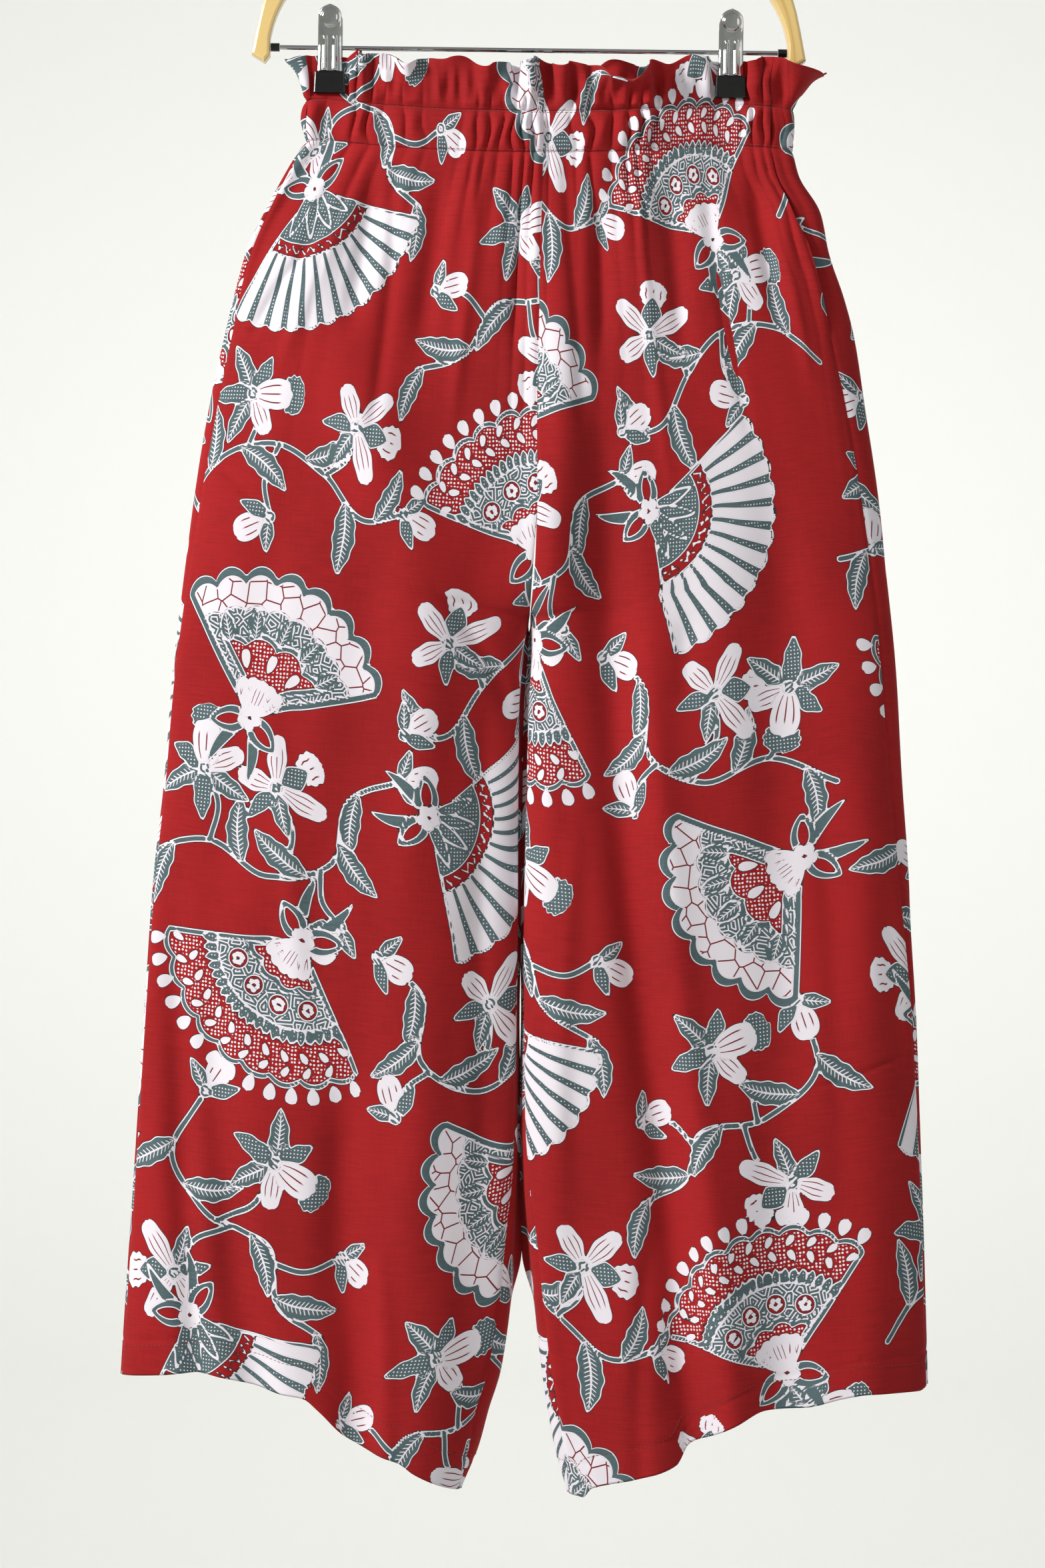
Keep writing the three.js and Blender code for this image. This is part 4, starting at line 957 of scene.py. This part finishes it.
def frillPoints(around, up):
    base = waistLoop(wrapBack(around))
    along = waistLoop(wrapBack(around + 0.002)) - waistLoop(wrapBack(around - 0.002))
    outward = np.stack([along[..., 1], -along[..., 0], 0 * along[..., 0]], -1)
    outward /= np.maximum(np.linalg.norm(outward, axis=-1, keepdims=True), 1e-9)
    x = base[..., 0]
    grip = gripShare(x)
    lean = np.radians(np.where(wrapBack(around) >= 0, frontLean(x), backLean(x))) * (1 - grip)
    turn = np.where(np.abs(lean) < 0.01, 0.01, lean)
    isBack = wrapBack(around) < 0
    uneven = waistLook["edgeRise"] * (np.sin(x / 9.3 + 1) + 0.7 * np.sin(x / 4.1))
    uneven += waistLook["backRise"] * isBack
    height = waist["frillHeight"] - waist["gripDrop"] * grip + uneven * (1 - grip)
    out = height * (1 - np.cos(turn * up)) / turn
    rise = height * np.sin(turn * up) / turn
    points = base + outward * out[..., None]
    pressed = np.sign(points[..., 1]) * waist["gripHalf"]
    points[..., 1] = lerp(points[..., 1], pressed, grip * lerp(0.8, 1, ease(up / 0.1)))
    points[..., 2] = waistZ(x) + rise
    return points, grip


def makeFrill(name, side):
    grids = []
    for panel, start, end in waistRuns[side]:
        around = halfSpan(start, end)[None, :]
        w = np.linspace(0, 1, waistLook["frillRows"] + 1)[:, None]
        up = 1 - w + 0 * around
        points, grip = frillPoints(around + 0 * w, up)
        x = waistLoop(wrapBack(around))[..., 0] + 0 * w
        puff = gatherPuff(x, -0.5 * up, side == "front")
        relief = rowRelief(puff, up * waist["frillHeight"]) - gatherLook["atRow"] * puff * ease(up / 0.9)
        relief += waistLook["frillPuff"] * puff * ease(up / 0.15) * np.exp(-(up / 0.5) ** 2)
        roll = np.sin(x / 3.6 + 2.2 * np.sin(x / 19) + 1.2 * np.sin(x / 7.7 + 2) + 1.1 * up)
        swing = 0.75 + 0.45 * np.sin(x / 26 + 1) + 0.3 * np.sin(x / 11)
        relief += waistLook["wave"] * swing * np.sign(roll) * np.abs(roll) ** 0.7 * ease(up / 0.5)
        ruffle = np.sin(x / 1.75 + 1.3 * np.sin(x / 8) - 0.8 * up)
        relief += waistLook["ruffle"] * ruffle * np.exp(-((up - 0.45) / 0.3) ** 2)
        relief *= lerp(1, ease((0.12 - up) / 0.12), grip)
        points = points + gridNormals(points, 1) * relief[..., None]
        flat = waistFlat(panel, around + 0 * w, waist["casingHeight"] + up * waist["frillHeight"])
        grids.append({"points": points, "flat": flat, "hand": 1, "thickness": waist["frillWall"] * 0.9})
    return meshFromGrids(name + "_cloth", grids, cotton)


for side in ("front", "back"):
    for hand, leg in (("right", rightLeg), ("left", leftLeg)):
        makeLegPanel(f"{side}_leg_{hand}", leg, side == "front")
print("leg panels made")
for side in ("front", "back"):
    casing, tall = makeCasing(f"casing_{side}", side), waist["casingHeight"]
    seat(casing, f"casing_{side}")
for side in ("front", "back"):
    frill, tall = makeFrill(f"frill_{side}", side), waist["frillHeight"]
    seat(frill, f"frill_{side}")
print("waist made")

# Pocket bags: two layers of the same cotton, hung inside the front from the side seam
pocketLook = {"rows": 60, "columns": 30, "inward": 3.0, "inset": 3, "thickness": 0.9, "cutTall": 195}


def makePocket(name, leg, origin):
    down = np.linspace(pocketBag["down"][0], pocketBag["down"][-1], pocketLook["rows"] + 1)[:, None]
    inset = leg["sideStrip"](down) + pocketLook["inset"]
    bagWide = smoothCurve(pocketBag, "down", "width")(down)
    first, last = aroundAtStrip(leg, down, inset), aroundAtStrip(leg, down, inset + bagWide)
    around = lerp(first, last, np.linspace(0, 1, pocketLook["columns"] + 1)[None, :])
    base = legBase(leg, around, down + 0 * around)[0]
    run, fall = runLength(base, 1), runLength(base, 0)
    sag = 0.5 * np.sin(run / 9 + fall / 31) * ease(run / 12)
    points = base - gridNormals(base, leg["hand"]) * (pocketLook["inward"] + sag)[..., None]
    flat = np.stack([run * leg["hand"], fall], -1) + origin
    grid = {"points": points, "flat": flat, "hand": leg["hand"], "thickness": pocketLook["thickness"]}
    bag = meshFromGrids(name + "_cloth", [grid], cotton)
    seat(bag, name)


makePocket("pocket_bag_right", rightLeg, (30, 60))
makePocket("pocket_bag_left", leftLeg, (90, 300))
print("pockets made")

# Stitches: one thread stitch repeated along the sewn lines
stitchLook = {"long": 2.3, "pitch": 3.1, "thick": 0.42, "vary": (0.88, 1.08), "seed": 7, "colour": "#7d1c22"}


def makeThread():  # polyester sewing thread in the red of the ground, a little deeper, with a soft sheen
    return newMaterial("sewingThread", {
        "Roughness": 0.55, "Sheen Weight": 0.2, "Base Color": toLinear(stitchLook["colour"])})[-1]


def stitchTree(thread):
    tree = bpy.data.node_groups.new("stitchesAlongLines", "GeometryNodeTree")
    face = tree.interface
    face.new_socket("Geometry", in_out="INPUT", socket_type="NodeSocketGeometry")
    for label in ("Stitch length", "Pitch", "Thread width"):
        face.new_socket(label, in_out="INPUT", socket_type="NodeSocketFloat")
    face.new_socket("Seed", in_out="INPUT", socket_type="NodeSocketInt")
    face.new_socket("Geometry", in_out="OUTPUT", socket_type="NodeSocketGeometry")
    add, given = partial(addNode, tree), tree.nodes.new("NodeGroupInput").outputs
    line = add("GeometryNodeMeshToCurve", {"Mesh": given["Geometry"]})
    even = add("GeometryNodeResampleCurve", {"Curve": line, "Length": given["Pitch"]}, mode="LENGTH")
    along = add("GeometryNodeInputTangent")
    turn = add("FunctionNodeAlignRotationToVector", {"Vector": along}, axis="X")
    ball = add("GeometryNodeMeshUVSphere", {"Segments": 8, "Rings": 5, "Radius": 0.5})
    size = add("ShaderNodeCombineXYZ",
               {"X": given["Stitch length"], "Y": given["Thread width"], "Z": given["Thread width"]})
    vary = add("FunctionNodeRandomValue", {"Seed": given["Seed"]}, data_type="FLOAT")
    limits = [socket for socket in vary.inputs if socket.type == "VALUE"]
    limits[0].default_value, limits[1].default_value = stitchLook["vary"]
    scaled = add("ShaderNodeVectorMath", {0: size, "Scale": vary}, operation="SCALE")
    spread = add("GeometryNodeInstanceOnPoints",
                 {"Points": even, "Instance": ball, "Rotation": turn, "Scale": scaled})
    real = add("GeometryNodeRealizeInstances", {"Geometry": spread})
    painted = add("GeometryNodeSetMaterial", {"Geometry": real, "Material": thread})
    add("NodeGroupOutput", {"Geometry": painted})
    return tree


def makeStitches():
    verts, edges = [], []
    for path in stitchPaths:
        start = len(verts)
        verts.extend((path * mm).tolist())
        edges.extend((i, i + 1) for i in range(start, len(verts) - 1))
    lines = bpy.data.meshes.new("seamLines")
    lines.from_pydata(verts, edges, [])
    holder = addObject("seamLines", lines)
    modifier = holder.modifiers.new("stitches", "NODES")
    modifier.node_group = stitchTree(makeThread())
    values = {"Stitch length": stitchLook["long"] * mm, "Pitch": stitchLook["pitch"] * mm,
              "Thread width": stitchLook["thick"] * mm, "Seed": stitchLook["seed"]}
    for item in modifier.node_group.interface.items_tree:
        if item.in_out == "INPUT" and item.name in values:
            modifier[item.identifier] = values[item.name]
    graph = bpy.context.evaluated_depsgraph_get()
    mesh = bpy.data.meshes.new_from_object(holder.evaluated_get(graph))
    holder.modifiers.remove(modifier)
    bpy.data.objects.remove(holder)
    mesh.polygons.foreach_set("use_smooth", np.ones(len(mesh.polygons), bool))
    seat(addObject("stitches", mesh))
    print("stitches", len(mesh.polygons))


makeStitches()

# Hanger finishes
hangerLook = {  # the bow's centre and half sizes in metres; grain lines across, along and through the arms
    "woodPale": "#e6c680", "woodDeep": "#d3a85c", "grainRed": "#b0723f",
    "chrome": "#b9bbbb", "rubber": "#0c0c0e",
    "bowCentre": (0, 0, -0.2), "bowReach": (0.19, 1e9, 0.138), "grainLines": (34.0, 14.0, 120.0),
    "grainStops": ((0.3, "woodPale"), (0.55, "woodPale"), (0.64, "woodDeep"), (0.74, "grainRed")),
}


def makeWood():  # pale varnished hardwood: long warm streaks along the arms under a satin varnish
    tree, shader, material = newMaterial("varnishedWood", {
        "Roughness": 0.34, "Coat Weight": 0.5, "Coat Roughness": 0.12})
    look, add = hangerLook, partial(addNode, tree)
    place = add("ShaderNodeTexCoord").outputs["Object"]
    centred = add("ShaderNodeVectorMath", {0: place, 1: look["bowCentre"]}, operation="SUBTRACT")
    squashed = add("ShaderNodeVectorMath", {0: centred, 1: look["bowReach"]}, operation="DIVIDE")
    bow = add("ShaderNodeVectorMath", {0: squashed}, operation="LENGTH").outputs["Value"]
    parts = add("ShaderNodeSeparateXYZ", {"Vector": place}).outputs
    grain = {axis: add("ShaderNodeMath", {0: source, 1: lines}, operation="MULTIPLY")
             for axis, source, lines in zip("XYZ", (bow, parts["X"], parts["Y"]), look["grainLines"])}
    along = add("ShaderNodeCombineXYZ", grain)
    streaks = add("ShaderNodeTexNoise", {"Vector": along, "Scale": 1.0, "Detail": 4.0})
    ramp = add("ShaderNodeValToRGB", {"Fac": streaks})
    stops = ramp.color_ramp.elements
    while len(stops) < len(look["grainStops"]):
        stops.new(0.5)
    for stop, (place, name) in zip(stops, look["grainStops"]):
        stop.position, stop.color = place, toLinear(look[name])
    tree.links.new(ramp.outputs[0], shader.inputs["Base Color"])
    bump = add("ShaderNodeBump", {"Height": streaks, "Strength": 0.12, "Distance": 0.0004})
    tree.links.new(bump.outputs[0], shader.inputs["Normal"])
    return material


def makeChrome():  # bright plated steel, with faint smears that soften the reflections here and there
    tree, shader, material = newMaterial("chromePlate", {
        "Metallic": 1.0, "Base Color": toLinear(hangerLook["chrome"])})
    place = addNode(tree, "ShaderNodeTexCoord").outputs["Object"]
    smears = addNode(tree, "ShaderNodeTexNoise", {"Vector": place, "Scale": 160.0, "Detail": 3.0})
    rough = addNode(tree, "ShaderNodeMapRange",
                    {"Value": smears, "From Min": 0.35, "From Max": 0.75, "To Min": 0.06, "To Max": 0.17})
    tree.links.new(rough.outputs[0], shader.inputs["Roughness"])
    return material


def makeRubber():  # glossy black dip-moulded vinyl with a slightly lumpy skin
    tree, shader, material = newMaterial("blackRubber", {
        "Roughness": 0.24, "Base Color": toLinear(hangerLook["rubber"])})
    place = addNode(tree, "ShaderNodeTexCoord").outputs["Object"]
    lumps = addNode(tree, "ShaderNodeTexNoise", {"Vector": place, "Scale": 420.0, "Detail": 3.0})
    bump = addNode(tree, "ShaderNodeBump", {"Height": lumps, "Strength": 0.25, "Distance": 0.0003})
    tree.links.new(bump.outputs[0], shader.inputs["Normal"])
    return material


wood, chrome, rubber = makeWood(), makeChrome(), makeRubber()
for cadObject in [o for o in bpy.data.objects if o.type == "MESH"]:
    for slot in cadObject.material_slots:
        own = slot.material.name if slot.material else ""
        for label, finish in (("varnished_wood", wood), ("chrome", chrome), ("black_rubber", rubber)):
            if own.startswith(label):
                slot.material = finish

# Clip jaws and springs, finer than the solids and in the same places
clipLook = {
    "top": -162, "foot": -206.7, "width": 17, "wall": 1.0, "dish": 1.35, "columns": 44, "rows": 90,
    "turns": 9, "springRadius": 2.55, "wire": 0.45, "rodZ": -190, "springHalf": 4.5,
    "side": {"down": [0, 0.25, 0.5, 0.62, 0.67, 1], "y": [10, 8.6, 5.3, 4.35, 4.35, 4.6]},
}


def makeJaw(name, x, facing):
    look = clipLook
    across = np.linspace(-1, 1, look["columns"] + 1)[None, :]
    down = np.linspace(0, 1, look["rows"] + 1)[:, None]
    rounded = np.sqrt(1 - (1 - np.clip(down / 0.17, 0.02, 1)) ** 2)
    flare = 0.92 + 0.1 * down
    half = look["width"] * flare * rounded / 2
    dish = look["dish"] * np.abs(across) ** 5
    y = smoothCurve(look["side"], "down", "y")(down) - dish
    z = lerp(look["top"], look["foot"], down) + 0 * across
    points = np.stack([x + facing * across * half, -facing * y, z], -1)
    along = ease((down - 0.44) / 0.07) * ease((1 - down) / 0.03)
    flutes = 1.2 * along * np.exp(-((np.abs(across) - 0.4) / 0.15) ** 4)
    away = np.hypot(across * 0.98, (down - 0.19) * 5.1)
    dome = 1.3 * np.sqrt(np.clip(1 - (away / 0.72) ** 2, 0, 1)) - 0.35 * np.exp(-((away - 0.85) / 0.12) ** 2)
    points = points + gridNormals(points, 1) * (flutes + dome)[..., None]
    jaw = meshFromGrids(name + "_plate", [{"points": points, "hand": 1, "thickness": look["wall"]}], chrome)
    seat(jaw, name)


def makeSpring(name, x):
    look = clipLook
    t = np.linspace(0, 1, look["turns"] * 18 + 1)[:, None]
    ring = np.linspace(0, 2 * math.pi, 9)[None, :]
    angle = 2 * math.pi * look["turns"] * t
    radius = look["springRadius"] + look["wire"] * np.cos(ring)
    along = x + look["springHalf"] * (2 * t - 1) + look["wire"] * np.sin(ring)
    points = np.stack([along, radius * np.cos(angle), look["rodZ"] + radius * np.sin(angle)], -1)
    coil = meshFromGrids(name + "_coil", [{"points": points, "hand": 1}], chrome)
    seat(coil, name)


for side, clipX in (("right", waist["clipCentres"][0]), ("left", waist["clipCentres"][1])):
    makeJaw(f"clip_{side}_side_front_jaw", clipX, 1)
    makeJaw(f"clip_{side}_side_back_jaw", clipX, -1)
    makeSpring(f"clip_{side}_side_spring", clipX)
print("hanger made")


# Light, stage and camera
stageLook = {  # radius and height of the bowl from its floor up, in metres
    "profile": [(2.4, -3.2), (4.4, -3.2), (5.6, -2.9), (6.2, -2.2), (6.4, 1.2), (6.4, 3.4), (5.0, 4.4)],
    "sides": 96, "colour": "#efefec", "sky": (0.9, 0.93, 0.96, 1), "skyPower": 0.36,
}
middle = (0.0, 0.0, -0.6)
lights = {  # place, target, size, power and colour
    "keyLight": ((-2.6, -1.6, 0.6), middle, 0.9, 118, (1, 0.985, 0.965)),
    "fillLight": ((2.1, -2.3, -0.2), middle, 1.8, 8, (0.97, 0.985, 1)),
    "wallLight": ((0, 2.6, 0.1), (0, 6.4, 0.1), 2.0, 88, (1, 0.998, 0.99)),
}


def makeStage():
    profile, sides = stageLook["profile"], stageLook["sides"]
    angles = np.linspace(0, 2 * math.pi, sides, endpoint=False)
    verts = [(r * math.cos(a), r * math.sin(a), z) for r, z in profile for a in angles]
    index = np.arange(len(verts)).reshape(-1, sides)
    onwards = np.roll(index, -1, axis=1)
    quads = np.stack([index[:-1], index[1:], onwards[1:], onwards[:-1]], -1).reshape(-1, 4)
    faces = quads.tolist() + [list(range(sides))]
    mesh = bpy.data.meshes.new("studioBowl")
    mesh.from_pydata(verts, [], faces)
    mesh.polygons.foreach_set("use_smooth", np.ones(len(faces), bool))
    paper = newMaterial("palePaper", {"Roughness": 0.9, "Base Color": toLinear(stageLook["colour"])})[-1]
    mesh.materials.append(paper)  # matt studio paper, so that the light falls off softly
    addObject("studioBowl", mesh)


makeStage()
for name, (place, target, size, power, colour) in lights.items():
    lamp = bpy.data.lights.new(name, "AREA")
    lamp.shape, lamp.size, lamp.energy, lamp.color = "DISK", size, power, colour
    holder = addObject(name, lamp)
    holder.location = place
    holder.rotation_euler = (Vector(target) - Vector(place)).to_track_quat("-Z", "Y").to_euler()
world = bpy.context.scene.world or bpy.data.worlds.new("world")
bpy.context.scene.world = world
world.use_nodes = True
sky = world.node_tree.nodes["Background"].inputs
sky[0].default_value, sky[1].default_value = stageLook["sky"], stageLook["skyPower"]
bpy.context.scene.view_settings.view_transform = "Standard"

view = {"distance": 2300, "centreX": 1.84, "centreZ": -696.2, "pixel": 0.46, "tall": 2352, "roll": 0.7}
camera = bpy.data.cameras.new("camera")
camera.sensor_fit, camera.sensor_width = "AUTO", 36
camera.lens = 36 * view["distance"] / (view["pixel"] * view["tall"])
camera.clip_end = 60
eye = addObject("camera", camera)
eye.location = (view["centreX"] * mm, -view["distance"] * mm, view["centreZ"] * mm)
eye.rotation_euler = (math.pi / 2, -math.radians(view["roll"]), 0)
bpy.context.scene.camera = eye
